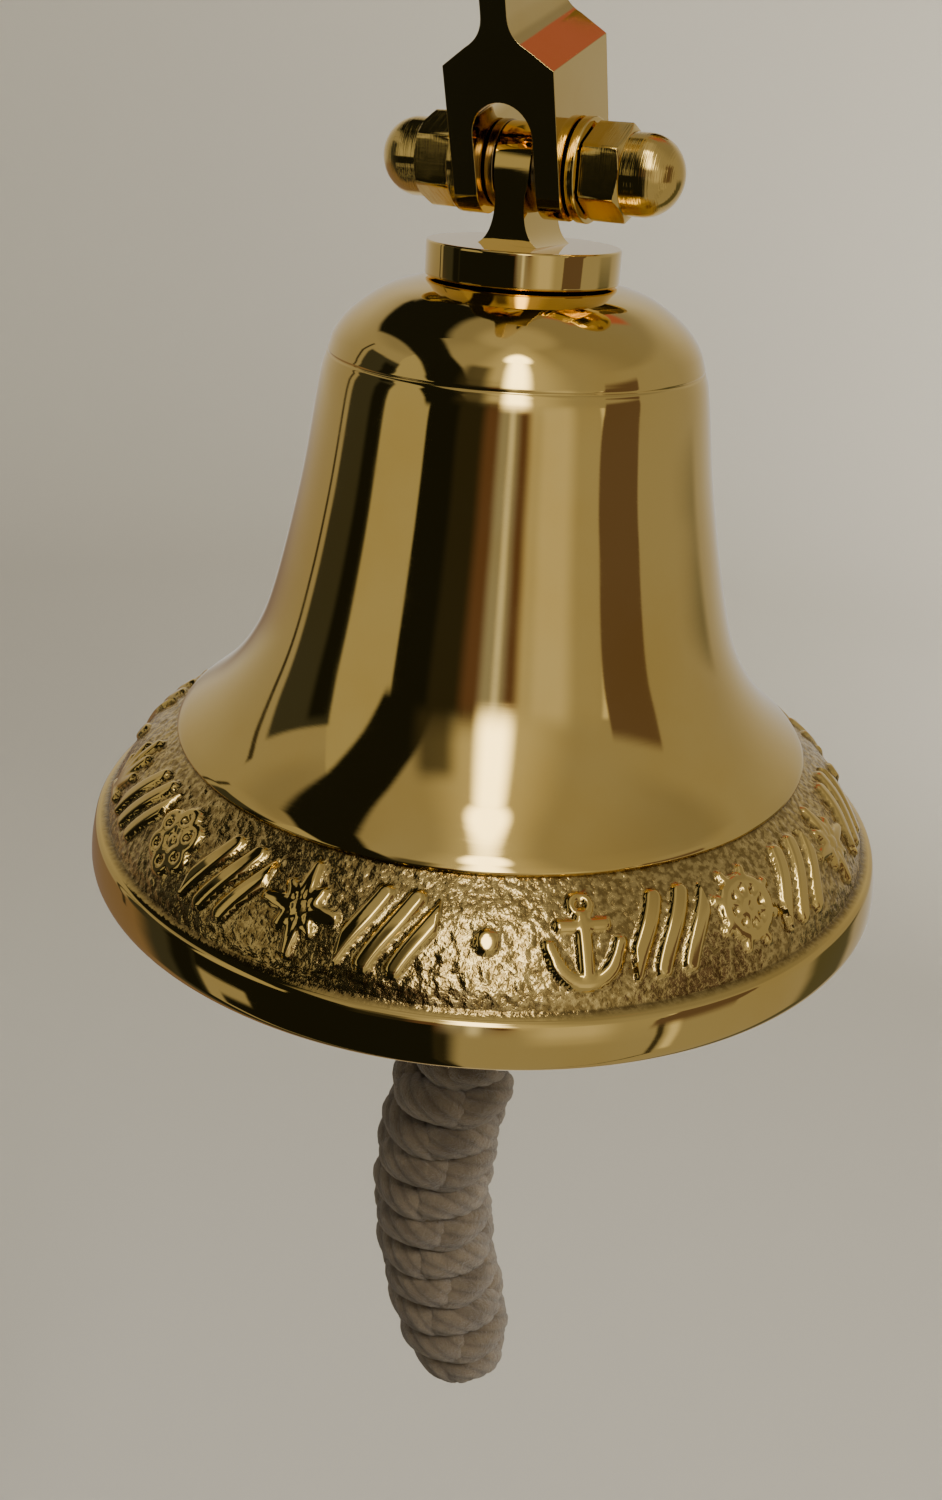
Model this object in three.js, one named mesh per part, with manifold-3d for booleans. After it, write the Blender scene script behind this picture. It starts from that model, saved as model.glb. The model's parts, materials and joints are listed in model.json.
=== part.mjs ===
// Six inch ship bell on a swan-neck wall bracket, with clapper and rope lanyard.
//
// Frame: millimetres, +Z up. The origin is the centre of the wall plate's back face,
// +Y points into the wall, and the bell hangs in front of the plate, at negative Y.

import * as THREE from 'three';
import { mergeVertices } from 'three/addons/utils/BufferGeometryUtils.js';
import Module from 'manifold-3d';

const wasm = await Module();
wasm.setup();

// ---------------------------------------------------------------- driving dimensions

const GAP = 0.3;                 // between pieces that touch

const PIVOT_OUT = 105;           // wall to the cross bolt
const PIVOT_DROP = 86;           // plate centre down to the cross bolt
const FORK_LEAN = 18;            // degrees that the fork leans out of the vertical

const PLATE = { width: 38, height: 84, depth: 6, screwX: 12, screwZ: 21 };
const SCREW = {
  head: 4, shank: 2, neck: 3, tipAt: 24, taperAt: 16, slotWidth: 1.2, slotDepth: 1.2, sunk: 0.2,
};
const FORK = {
  halfWidth: 9.4, front: 9, back: 11, shoulder: 17.3, roof: 21.6, foot: 6.5,
  footRadius: 5, slotHalf: 5.2, slotTop: 12.4,
};
const NECK = { thickness: 4.4, straight: 42, reach: 76, rootDepth: 30, rootHeight: 8 };

const BOLT = { radius: 3.95, bore: 4.3, halfLength: 22 };
const WASHER = { radius: 8, thickness: 1.6 };
const SPACER = { radius: 6.8, thickness: 1.5 };
const NUT = { acrossFlats: 13, height: 6.5, domeRadius: 6.25, overall: 15 };

const LIP_DROP = 122.8;          // cross bolt down to the bell's widest circle
const BELL = {
  lipRadius: 76, crownTop: 104.9, waistWall: 4.4, bowWall: 7.6, crownWall: 4.7, seat: 16.4,
};
const COLLAR = { radius: 16.4, bottom: 105.2, top: 110.9 };
const TONGUE = { halfThickness: 3.1, waist: 2.6, headRadius: 6.6, flare: 7 };

const STUD_END = 86;             // height of the hanger stud's lower end above the lip
const EYE = { bossTop: 91.2, bossBottom: 83.2, bossRadius: 6, ring: 6, wire: 2.1 };
const LINK = { wire: 2, ring: 4.6, straight: 6 };
const CLAPPER = {
  ring: 5, wire: 2, rod: 3, ball: 11.5, length: 84, tailRing: 6, tailWire: 2.1, tailDrop: 20,
};
const LANYARD = { cord: 2.6, bend: 5.2, radius: 14, top: 12, length: 101, bow: 6, bowYaw: 25 };
const SEIZING = { inner: 5.8, outer: 7.8, height: 3.4 };

const ROUND = 24;                // facets on a small turned piece
const BELL_FACETS = 48;

// ---------------------------------------------------------------- materials

const metal = (color, roughness) => new THREE.MeshStandardMaterial({ color, roughness, metalness: 1 });
const brass = metal(0xd8b05a, 0.12);
const castBrass = metal(0xc59a48, 0.2);
const cotton = new THREE.MeshStandardMaterial({ color: 0xa79a86, roughness: 0.95, metalness: 0 });

// ---------------------------------------------------------------- solids

const v2 = (x, y) => new THREE.Vector2(x, y);
const v3 = (x, y, z) => new THREE.Vector3(x, y, z);
const rad = THREE.MathUtils.degToRad;

function toSolid(geometry) {
  const bare = geometry.index ? geometry.toNonIndexed() : geometry.clone();
  bare.deleteAttribute('normal');
  bare.deleteAttribute('uv');
  const merged = mergeVertices(bare, 1e-4);
  const mesh = new wasm.Mesh({
    numProp: 3,
    vertProperties: new Float32Array(merged.attributes.position.array),
    triVerts: new Uint32Array(merged.index.array),
  });
  mesh.merge();
  return new wasm.Manifold(mesh);
}

function toGeometry(solid) {
  const mesh = solid.getMesh();
  const geometry = new THREE.BufferGeometry();
  geometry.setAttribute('position', new THREE.BufferAttribute(mesh.vertProperties, 3));
  geometry.setIndex(new THREE.BufferAttribute(mesh.triVerts, 1));
  return geometry;
}

function join(...geometries) {
  return toGeometry(geometries.map(toSolid).reduce((a, b) => a.add(b)));
}

function cut(body, ...tools) {
  return toGeometry(tools.map(toSolid).reduce((a, b) => a.subtract(b), toSolid(body)));
}

function overlapOf(a, b) {
  return toGeometry(toSolid(a).intersect(toSolid(b)));
}

// A closed outline of [radius, height] points turned about +Z.
function turned(points, facets = ROUND) {
  const outline = points.map(([radius, height]) => v2(radius, height));
  return new THREE.LatheGeometry(outline, facets).rotateX(Math.PI / 2);
}

function rod(radius, low, high, facets = ROUND) {
  return turned([[0, low], [radius, low], [radius, high], [0, high]], facets);
}

function sleeve(inner, outer, low, high) {
  return turned([[inner, low], [outer, low], [outer, high], [inner, high], [inner, low]]);
}

// A round wire bent into a full ring about the Y axis.
function ring(radius, wire) {
  const section = [];
  for (let i = 0; i <= 8; i += 1) {
    const angle = (i / 8) * 2 * Math.PI;
    section.push([radius + wire * Math.cos(angle), wire * Math.sin(angle)]);
  }
  return turned(section, 20).rotateX(Math.PI / 2);
}

// A flat shape drawn in the XZ plane and given depth along Y, from front to back.
function slabXZ(shape, front, back, curveSegments = 10) {
  const options = { depth: back - front, bevelEnabled: false, curveSegments };
  return new THREE.ExtrudeGeometry(shape, options).rotateX(Math.PI / 2).translate(0, back, 0);
}

// A flat shape drawn in the YZ plane and given thickness along X, centred on it.
function slabYZ(shape, thickness, curveSegments = 10) {
  const options = { depth: thickness, bevelEnabled: false, curveSegments };
  const basis = new THREE.Matrix4().makeBasis(v3(0, 1, 0), v3(0, 0, 1), v3(1, 0, 0));
  return new THREE.ExtrudeGeometry(shape, options).applyMatrix4(basis).translate(-thickness / 2, 0, 0);
}

function cordAlong(curve, radius, steps, sides = 8) {
  const section = new THREE.Shape();
  for (let i = 0; i < sides; i += 1) {
    const angle = (i / sides) * 2 * Math.PI;
    const draw = i === 0 ? 'moveTo' : 'lineTo';
    section[draw](radius * Math.cos(angle), radius * Math.sin(angle));
  }
  return new THREE.ExtrudeGeometry(section, { steps, extrudePath: curve, bevelEnabled: false });
}

const object = new THREE.Group();

function add(parent, name, geometry, material) {
  const mesh = new THREE.Mesh(geometry, material);
  mesh.name = name;
  parent.add(mesh);
  return mesh;
}

// ---------------------------------------------------------------- wall bracket

// Fork seen from the front, with the cross bolt at its origin: two legs, a pitched roof
// and the foot of the neck.
function forkFront() {
  const half = NECK.thickness / 2;
  const fillet = 3;
  const shape = new THREE.Shape();
  shape.moveTo(FORK.halfWidth, -FORK.foot);
  shape.lineTo(FORK.halfWidth, FORK.shoulder);
  shape.lineTo(half + fillet, FORK.roof - fillet / 2);
  shape.quadraticCurveTo(half, FORK.roof, half, FORK.roof + fillet);
  shape.lineTo(-half, FORK.roof + fillet);
  shape.quadraticCurveTo(-half, FORK.roof, -half - fillet, FORK.roof - fillet / 2);
  shape.lineTo(-FORK.halfWidth, FORK.shoulder);
  shape.lineTo(-FORK.halfWidth, -FORK.foot);
  shape.lineTo(-FORK.slotHalf, -FORK.foot);
  shape.lineTo(-FORK.slotHalf, FORK.slotTop - FORK.slotHalf);
  shape.absarc(0, FORK.slotTop - FORK.slotHalf, FORK.slotHalf, Math.PI, 0, true);
  shape.lineTo(FORK.slotHalf, -FORK.foot);
  return shape;
}

// Fork seen from the side: straight edges, and feet rounded at both corners.
function forkSide() {
  const r = FORK.footRadius;
  const shape = new THREE.Shape();
  shape.moveTo(-FORK.front, FORK.roof + 4);
  shape.lineTo(-FORK.front, -FORK.foot + r);
  shape.absarc(-FORK.front + r, -FORK.foot + r, r, Math.PI, 1.5 * Math.PI, false);
  shape.absarc(FORK.back - r, -FORK.foot + r, r, 1.5 * Math.PI, 2 * Math.PI, false);
  shape.lineTo(FORK.back, FORK.roof + 4);
  return shape;
}

// A point beside the cross bolt, along and across the leaning fork, as [y, z].
function onFork(along, across) {
  const lean = rad(FORK_LEAN);
  const y = -PIVOT_OUT - along * Math.sin(lean) + across * Math.cos(lean);
  const z = -PIVOT_DROP + along * Math.cos(lean) + across * Math.sin(lean);
  return v2(y, z);
}

// Neck: a flat bar on edge that rises out of the fork, curls over and meets the plate.
function neckSide() {
  const middle = (FORK.back - FORK.front) / 2;
  const depth = FORK.front + FORK.back;
  const start = onFork(NECK.straight, middle);
  const end = v2(-PLATE.depth + 1, NECK.rootHeight);
  const centre = new THREE.CubicBezierCurve(
    start,
    onFork(NECK.straight + NECK.reach, middle),
    v2(-NECK.reach, NECK.rootHeight),
    end,
  );
  const front = [onFork(FORK.roof, -FORK.front), onFork(NECK.straight - 6, -FORK.front)];
  const back = [onFork(FORK.roof, FORK.back), onFork(NECK.straight - 6, FORK.back)];
  const steps = 22;
  for (let i = 0; i <= steps; i += 1) {
    const t = i / steps;
    const point = centre.getPoint(t);
    const along = centre.getTangent(t);
    const half = depth / 2 + (NECK.rootDepth - depth) / 2 * t ** 4 - 2 * Math.sin(Math.PI * t);
    front.push(v2(point.x - along.y * half, point.y + along.x * half));
    back.push(v2(point.x + along.y * half, point.y - along.x * half));
  }
  return new THREE.Shape([...front, ...back.reverse()]);
}

function platePanel() {
  const { width, height, depth } = PLATE;
  const r = width / 2;
  const shape = new THREE.Shape();
  shape.moveTo(r, -height / 2 + r);
  shape.lineTo(r, height / 2 - r);
  shape.absarc(0, height / 2 - r, r, 0, Math.PI, false);
  shape.lineTo(-r, -height / 2 + r);
  shape.absarc(0, -height / 2 + r, r, Math.PI, 2 * Math.PI, false);
  return slabXZ(shape, -depth, 0, 16);
}

const screwPlaces = [
  ['upper_left', -PLATE.screwX, PLATE.screwZ],
  ['upper_right', PLATE.screwX, PLATE.screwZ],
  ['lower_left', -PLATE.screwX, -PLATE.screwZ],
  ['lower_right', PLATE.screwX, -PLATE.screwZ],
];

// Hole for a countersunk wood screw. Hole and screw point along +Z, with the plate's back
// face at zero, before they are laid along +Y.
function countersink() {
  const head = SCREW.head + GAP;
  const shank = SCREW.shank + GAP;
  const front = -PLATE.depth;
  const outline = [
    [0, front - 1], [head, front - 1], [head, front + 0.4], [shank, front + SCREW.neck],
    [shank, 1], [0, 1],
  ];
  return turned(outline, 20).rotateX(-Math.PI / 2);
}

function woodScrew() {
  const { head, shank, neck, sunk, slotWidth, slotDepth, taperAt, tipAt } = SCREW;
  const front = -PLATE.depth;
  const outline = [
    [0, front + sunk], [head, front + sunk], [head, front + 0.5], [shank, front + neck],
    [shank, taperAt], [0.4, tipAt], [0, tipAt],
  ];
  const slot = new THREE.BoxGeometry(2 * head + 1, slotWidth, 2 * slotDepth);
  return cut(turned(outline, 20), slot.translate(0, 0, front + sunk)).rotateX(-Math.PI / 2);
}

function wallBracket() {
  const fork = overlapOf(
    slabXZ(forkFront(), -FORK.front - 1, FORK.back + 1),
    slabYZ(forkSide(), 2 * FORK.halfWidth + 2),
  );
  const bore = rod(BOLT.bore, -20, 20).rotateY(Math.PI / 2);
  const leaning = cut(fork, bore).rotateX(rad(FORK_LEAN)).translate(0, -PIVOT_OUT, -PIVOT_DROP);
  const whole = join(leaning, slabYZ(neckSide(), NECK.thickness), platePanel());
  const holes = screwPlaces.map(([, x, z]) => countersink().translate(x, 0, z));
  return cut(whole, ...holes);
}

add(object, 'wall_bracket', wallBracket(), castBrass);
for (const [place, x, z] of screwPlaces) {
  add(object, `wall_screw_${place}`, woodScrew(), brass).position.set(x, 0, z);
}

// ---------------------------------------------------------------- cross bolt

// Everything on the cross bolt is turned about +Z and then laid along +X.
const boltGroup = new THREE.Group();
boltGroup.position.set(0, -PIVOT_OUT, -PIVOT_DROP);
object.add(boltGroup);

const hexRadius = NUT.acrossFlats / 2 / Math.cos(Math.PI / 6);

function hexagon(height) {
  return new THREE.CylinderGeometry(hexRadius, hexRadius, height, 6)
    .rotateX(Math.PI / 2).translate(0, 0, height / 2);
}

// Chamfer that rounds off the corners of a nut at one or both ends.
function cornerTrim(height, bothEnds) {
  const flat = NUT.acrossFlats / 2;
  const slope = (hexRadius - flat) * 0.6;
  const foot = bothEnds ? [[0, 0], [flat, 0], [hexRadius, slope]] : [[0, 0], [hexRadius + 1, 0]];
  const edge = bothEnds ? hexRadius : hexRadius + 1;
  const rise = bothEnds ? slope : slope * 1.8;
  return turned([...foot, [edge, height - rise], [flat, height], [0, height]]);
}

function capNut() {
  const body = overlapOf(hexagon(NUT.height), cornerTrim(NUT.height, false));
  const outline = [[0, 1], [NUT.domeRadius, 1]];
  const steps = 7;
  for (let i = 0; i <= steps; i += 1) {
    const angle = (i / steps) * Math.PI / 2;
    const height = NUT.overall - NUT.domeRadius * (1 - Math.sin(angle));
    outline.push([NUT.domeRadius * Math.cos(angle), height]);
  }
  outline[outline.length - 1][0] = 0;
  const bore = rod(BOLT.bore, -1, 12.2, 20);
  return cut(join(body, turned(outline)), bore);
}

const legOuter = FORK.halfWidth + GAP;
const nutStart = legOuter + WASHER.thickness + GAP;
const tongueSide = TONGUE.halfThickness + GAP;

const boltShank = rod(BOLT.radius, -BOLT.halfLength, BOLT.halfLength);
add(boltGroup, 'pivot_bolt', boltShank.rotateY(Math.PI / 2), brass);
for (const [side, turn] of [['left', -1], ['right', 1]]) {
  const lay = (geometry) => geometry.rotateY(turn * Math.PI / 2);
  const washer = sleeve(BOLT.bore, WASHER.radius, legOuter, legOuter + WASHER.thickness);
  const spacer = sleeve(BOLT.bore, SPACER.radius, tongueSide, tongueSide + SPACER.thickness);
  add(boltGroup, `outer_washer_${side}`, lay(washer), brass);
  add(boltGroup, `spacer_washer_${side}`, lay(spacer), brass);
  add(boltGroup, `cap_nut_${side}`, lay(capNut().translate(0, 0, nutStart)), brass);
}

// ---------------------------------------------------------------- crown hanger

// From here on, heights are measured from the bell's widest circle.
const bellGroup = new THREE.Group();
bellGroup.position.set(0, -PIVOT_OUT, -PIVOT_DROP - LIP_DROP);
object.add(bellGroup);

// Tongue seen from the front: a thin eye over a waist that flares onto the collar.
function tongueFront() {
  const { halfThickness, waist, headRadius, flare } = TONGUE;
  const top = LIP_DROP + headRadius;
  const foot = COLLAR.top - 0.5;
  const shape = new THREE.Shape();
  shape.moveTo(halfThickness, top);
  shape.lineTo(-halfThickness, top);
  shape.lineTo(-halfThickness, LIP_DROP + 2);
  shape.quadraticCurveTo(-halfThickness, LIP_DROP - 2, -waist, LIP_DROP - 5);
  shape.quadraticCurveTo(-waist, COLLAR.top, -flare, foot);
  shape.lineTo(flare, foot);
  shape.quadraticCurveTo(waist, COLLAR.top, waist, LIP_DROP - 5);
  shape.quadraticCurveTo(halfThickness, LIP_DROP - 2, halfThickness, LIP_DROP + 2);
  return shape;
}

function tongueSideView() {
  const r = TONGUE.headRadius;
  const shape = new THREE.Shape();
  shape.moveTo(-r, COLLAR.top - 1);
  shape.lineTo(r, COLLAR.top - 1);
  shape.lineTo(r, LIP_DROP);
  shape.absarc(0, LIP_DROP, r, 0, Math.PI, false);
  return shape;
}

function crownHanger() {
  const tongue = overlapOf(
    slabXZ(tongueFront(), -TONGUE.headRadius - 1, TONGUE.headRadius + 1),
    slabYZ(tongueSideView(), 2 * TONGUE.flare + 2),
  );
  const collar = turned([
    [0, COLLAR.bottom], [COLLAR.radius - 0.5, COLLAR.bottom], [COLLAR.radius, COLLAR.bottom + 0.5],
    [COLLAR.radius, COLLAR.top - 0.5], [COLLAR.radius - 0.5, COLLAR.top], [0, COLLAR.top],
  ], 40);
  const stud = rod(BOLT.radius, STUD_END, COLLAR.bottom + 1);
  const bore = rod(BOLT.bore, -20, 20).rotateY(Math.PI / 2).translate(0, 0, LIP_DROP);
  return cut(join(tongue, collar, stud), bore);
}

add(bellGroup, 'crown_hanger', crownHanger(), brass);

// ---------------------------------------------------------------- bell

// Outside of the bell from the lip's under-edge to the collar's seat, as [radius, height].
function bellOutside() {
  const lip = [v2(74.8, -1.2), v2(75.6, -0.9), v2(BELL.lipRadius, 0), v2(75.8, 3.4), v2(75.1, 6)];
  const flank = new THREE.SplineCurve([
    v2(73.9, 7.6), v2(72, 12), v2(66.8, 19), v2(59.2, 24.8), v2(51.2, 32),
    v2(45.5, 40), v2(41.6, 50), v2(36.8, 70), v2(33.7, 88), v2(32.6, 92),
  ]);
  const shoulder = new THREE.SplineCurve([
    v2(32.2, 93), v2(31.2, 96), v2(28.2, 99.3), v2(22.6, 103), v2(BELL.seat, BELL.crownTop),
  ]);
  return [...lip, ...flank.getSpacedPoints(14), ...shoulder.getSpacedPoints(5)];
}

// Wall thickness: heavy at the sound bow, light up the waist.
function wallAt(height) {
  const bow = Math.exp(-(((height - 6) / 11) ** 2));
  return BELL.waistWall + (BELL.bowWall - BELL.waistWall) * bow;
}

function bellInside() {
  const roof = BELL.crownTop - BELL.crownWall;
  const outside = bellOutside().filter((p) => p.y > 3);
  const inside = [v2(70.4, -1.2), v2(69.2, 0.6)];
  outside.forEach((point, i) => {
    const before = outside[Math.max(i - 1, 0)];
    const after = outside[Math.min(i + 1, outside.length - 1)];
    const along = after.clone().sub(before).normalize();
    const wall = wallAt(point.y);
    const shifted = v2(point.x - along.y * wall, point.y + along.x * wall);
    const last = inside[inside.length - 1];
    if (shifted.y > last.y + 1 && shifted.x < last.x && shifted.y < roof - 1) inside.push(shifted);
  });
  return [...inside, v2(16, roof), v2(BOLT.bore, roof)];
}

function bellShell() {
  const outside = bellOutside();
  const profile = [...outside, v2(BOLT.bore, BELL.crownTop), ...bellInside().reverse(), outside[0]];
  return turned(profile.map((p) => [p.x, p.y]), BELL_FACETS);
}

function crownNut() {
  const body = overlapOf(hexagon(NUT.height), cornerTrim(NUT.height, true));
  return cut(body, rod(BOLT.bore, -1, NUT.height + 1, 20));
}

const crownInside = BELL.crownTop - BELL.crownWall;
const crownWasherLow = crownInside - GAP - WASHER.thickness;
const crownNutLow = crownWasherLow - GAP - NUT.height;

add(bellGroup, 'bell_shell', bellShell(), brass);
add(bellGroup, 'crown_washer', sleeve(BOLT.bore, 10, crownWasherLow, crownInside - GAP), brass);
add(bellGroup, 'crown_nut', crownNut().translate(0, 0, crownNutLow), brass);

// ---------------------------------------------------------------- clapper

// Eye nut on the end of the stud. Its ring stands across the bell, open front to back.
const eyeCentre = EYE.bossBottom - EYE.ring + 0.6;
const linkPivot = eyeCentre - EYE.ring;
const clapperPivot = linkPivot - LINK.straight - LINK.ring;

function clapperEye() {
  const boss = turned([
    [0, EYE.bossBottom - 1.5], [3.4, EYE.bossBottom - 1.5], [EYE.bossRadius, EYE.bossBottom + 1.5],
    [EYE.bossRadius, EYE.bossTop], [0, EYE.bossTop],
  ]);
  const wire = ring(EYE.ring, EYE.wire).translate(0, 0, eyeCentre);
  return cut(join(boss, wire), rod(BOLT.bore, STUD_END - 0.6, EYE.bossTop + 1, 20));
}

// Wire link, bent into a long loop in the YZ plane. Its ends butt with a fine gap.
function clapperLink() {
  const { ring: bend, straight } = LINK;
  const low = linkPivot - straight;
  const path = new THREE.CurvePath();
  const arc = (height, from, to) => {
    const points = [];
    for (let i = 0; i <= 12; i += 1) {
      const angle = from + (to - from) * (i / 12);
      points.push(v3(0, bend * Math.cos(angle), height + bend * Math.sin(angle)));
    }
    return points;
  };
  const middle = linkPivot - straight / 2;
  const route = [
    v3(0, bend, middle + GAP / 2), ...arc(linkPivot, 0, Math.PI), ...arc(low, Math.PI, 2 * Math.PI),
    v3(0, bend, middle - GAP / 2),
  ];
  for (let i = 1; i < route.length; i += 1) {
    path.add(new THREE.LineCurve3(route[i - 1], route[i]));
  }
  return cordAlong(path, LINK.wire, 32);
}

// Rod with a ring at its head that hangs on the link, and a ring at its tail.
const ballHeight = linkPivot - CLAPPER.length;
const tailCentre = ballHeight - CLAPPER.tailDrop;
const lanyardPivot = tailCentre - CLAPPER.tailRing;

function clapperRod() {
  const head = ring(CLAPPER.ring, CLAPPER.wire).translate(0, 0, clapperPivot);
  const low = tailCentre + CLAPPER.tailRing - 0.5;
  const high = clapperPivot - CLAPPER.ring + 0.5;
  const shank = rod(CLAPPER.rod, low, high, 16);
  const tail = ring(CLAPPER.tailRing, CLAPPER.tailWire).translate(0, 0, tailCentre);
  return join(head, shank, tail);
}

function clapperBall() {
  const ball = new THREE.SphereGeometry(CLAPPER.ball, 24, 12).rotateX(Math.PI / 2);
  return cut(ball, rod(CLAPPER.rod + GAP, -20, 20, 16));
}

add(bellGroup, 'clapper_eye', clapperEye(), brass);
add(bellGroup, 'clapper_link', clapperLink(), brass);
add(bellGroup, 'clapper_rod', clapperRod(), brass);
add(bellGroup, 'clapper_ball', clapperBall().translate(0, 0, ballHeight), brass);

// ---------------------------------------------------------------- lanyard

// Rope eye through the clapper's tail ring: two legs that come together at the collar.
const sennitTop = lanyardPivot - LANYARD.top;

function lanyardEye() {
  const { cord, bend } = LANYARD;
  const foot = sennitTop + GAP;
  const legs = cord + GAP / 2;
  const points = [v3(0, -legs, foot), v3(0, -legs, foot + 3), v3(0, -bend, lanyardPivot - 1)];
  for (let i = 1; i < 6; i += 1) {
    const angle = Math.PI - (i / 6) * Math.PI;
    points.push(v3(0, bend * Math.cos(angle), lanyardPivot + bend * Math.sin(angle)));
  }
  points.push(v3(0, bend, lanyardPivot - 1), v3(0, legs, foot + 3), v3(0, legs, foot));
  return cordAlong(new THREE.CatmullRomCurve3(points), cord, 20);
}

// Braided pull: a fat round body with soft ends, hanging in a slight bow.
function lanyardSennit() {
  const { radius, length, bow } = LANYARD;
  const outline = [[0, 0], [8, 0], [12, -2], [radius, -7]];
  for (let i = 1; i <= 8; i += 1) {
    outline.push([radius, -7 - (i / 8) * (length - 7 - radius)]);
  }
  for (let i = 1; i <= 5; i += 1) {
    const angle = (i / 5) * Math.PI / 2;
    outline.push([radius * Math.cos(angle), -length + radius * (1 - Math.sin(angle))]);
  }
  outline[outline.length - 1][0] = 0;
  const geometry = turned(outline.reverse(), 24);
  const place = geometry.attributes.position;
  const yaw = rad(LANYARD.bowYaw);
  for (let i = 0; i < place.count; i += 1) {
    const down = -place.getZ(i) / length;
    const aside = -bow * Math.sin(1.25 * Math.PI * down);
    place.setX(i, place.getX(i) + aside * Math.cos(yaw));
    place.setY(i, place.getY(i) + aside * Math.sin(yaw));
  }
  return geometry.translate(0, 0, sennitTop);
}

const seizingLow = sennitTop + GAP;
const seizing = sleeve(SEIZING.inner, SEIZING.outer, seizingLow, seizingLow + SEIZING.height);

add(bellGroup, 'lanyard_eye', lanyardEye(), cotton);
add(bellGroup, 'lanyard_seizing', seizing, cotton);
add(bellGroup, 'lanyard_sennit', lanyardSennit(), cotton);

export default object;
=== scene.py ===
"""Looks of a six inch brass ship bell on its swan-neck bracket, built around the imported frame."""
import json
import math

import bmesh
import bpy
import numpy as np
from mathutils import Matrix, Vector


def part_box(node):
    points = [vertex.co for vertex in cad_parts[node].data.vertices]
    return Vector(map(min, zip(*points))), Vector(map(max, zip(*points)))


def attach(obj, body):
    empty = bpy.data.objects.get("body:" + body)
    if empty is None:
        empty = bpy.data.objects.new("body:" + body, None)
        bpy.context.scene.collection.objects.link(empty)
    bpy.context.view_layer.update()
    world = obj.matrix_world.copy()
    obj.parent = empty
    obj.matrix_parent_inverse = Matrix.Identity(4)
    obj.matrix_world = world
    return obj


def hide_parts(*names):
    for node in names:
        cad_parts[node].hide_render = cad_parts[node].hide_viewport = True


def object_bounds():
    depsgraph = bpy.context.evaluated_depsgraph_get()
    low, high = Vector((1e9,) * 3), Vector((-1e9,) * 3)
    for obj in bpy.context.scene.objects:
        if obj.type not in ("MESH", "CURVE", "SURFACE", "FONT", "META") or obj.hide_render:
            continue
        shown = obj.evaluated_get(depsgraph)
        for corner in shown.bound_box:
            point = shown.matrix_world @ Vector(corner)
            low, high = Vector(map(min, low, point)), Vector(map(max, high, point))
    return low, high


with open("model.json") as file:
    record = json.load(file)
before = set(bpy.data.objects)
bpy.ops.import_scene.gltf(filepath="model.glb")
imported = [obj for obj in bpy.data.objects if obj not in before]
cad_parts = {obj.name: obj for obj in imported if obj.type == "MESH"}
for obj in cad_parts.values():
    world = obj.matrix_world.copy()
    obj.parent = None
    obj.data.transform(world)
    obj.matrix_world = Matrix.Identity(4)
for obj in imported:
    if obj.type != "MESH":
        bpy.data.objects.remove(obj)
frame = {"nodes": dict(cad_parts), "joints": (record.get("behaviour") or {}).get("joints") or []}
cad_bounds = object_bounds()

MM = 0.001

# ---- places taken from the frame

joint_place = {j["name"]: Vector(j["pos_m"]) for j in frame["joints"]}
shell_low, shell_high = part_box("bell_shell")
AXIS_X = (shell_low.x + shell_high.x) / 2
AXIS_Y = (shell_low.y + shell_high.y) / 2
LIP_BELOW = 1.2 * MM                     # the lip's under-edge lies this far below its widest circle
LIP_Z = shell_low.z + LIP_BELOW
BOLT = joint_place["bell_swing"]


def on_bell(x, y, z):
    """A point given in millimetres from the middle of the bell's widest circle."""
    return Vector((AXIS_X + x * MM, AXIS_Y + y * MM, LIP_Z + z * MM))


ORIGIN = on_bell(0, 0, 0)

# ---- camera

CAMERA_YAW = math.radians(25.1)
CAMERA_PAN = math.radians(-0.82)
CAMERA_PITCH = math.radians(25.38)
CAMERA_ROLL = math.radians(3.6)
CAMERA_DISTANCE = 245.9                  # mm from the bell's axis
CAMERA_HEIGHT = 133.6                    # mm above the bell's widest circle
CAMERA_LENS = 33.41


def make_camera():
    level_ahead = Vector((math.sin(CAMERA_PAN), math.cos(CAMERA_PAN), 0))
    ahead = level_ahead * math.cos(CAMERA_PITCH) - Vector((0, 0, math.sin(CAMERA_PITCH)))
    right = ahead.cross(Vector((0, 0, 1))).normalized()
    up = right.cross(ahead)
    rolled_right = right * math.cos(CAMERA_ROLL) + up * math.sin(CAMERA_ROLL)
    rolled_up = up * math.cos(CAMERA_ROLL) - right * math.sin(CAMERA_ROLL)
    turn = Matrix.Rotation(CAMERA_YAW, 4, "Z")
    axes = Matrix((rolled_right, rolled_up, -ahead)).transposed().to_4x4()
    place = turn @ Vector((0, -CAMERA_DISTANCE * MM, CAMERA_HEIGHT * MM))
    data = bpy.data.cameras.new("view")
    data.lens = CAMERA_LENS
    data.sensor_width = 36
    data.clip_start = 0.01
    camera = bpy.data.objects.new("view", data)
    camera.matrix_world = Matrix.Translation(place + ORIGIN) @ turn @ axes
    bpy.context.scene.collection.objects.link(camera)
    bpy.context.scene.camera = camera


# ---- node helpers

def feed(tree, sockets, values):
    """Link each socket, found by name or number, to another, or give it a plain value."""
    for label, value in values.items():
        if isinstance(value, bpy.types.NodeSocket):
            tree.links.new(value, sockets[label])
        else:
            sockets[label].default_value = value


def new_node(tree, kind, values=None, **settings):
    node = tree.nodes.new(kind)
    for name, value in settings.items():
        setattr(node, name, value)
    feed(tree, node.inputs, values or {})
    return node


def maths(tree, operation, *values):
    return new_node(tree, "ShaderNodeMath", dict(enumerate(values)), operation=operation).outputs[0]


def times(tree, *values):
    return maths(tree, "MULTIPLY", *values)


def ramp(tree, value, low, high, to_low=0.0, to_high=1.0):
    """A smooth step from to_low to to_high as value goes from low to high."""
    values = dict(enumerate((value, low, high, to_low, to_high)))
    return new_node(tree, "ShaderNodeMapRange", values, interpolation_type="SMOOTHSTEP").outputs[0]


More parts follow.
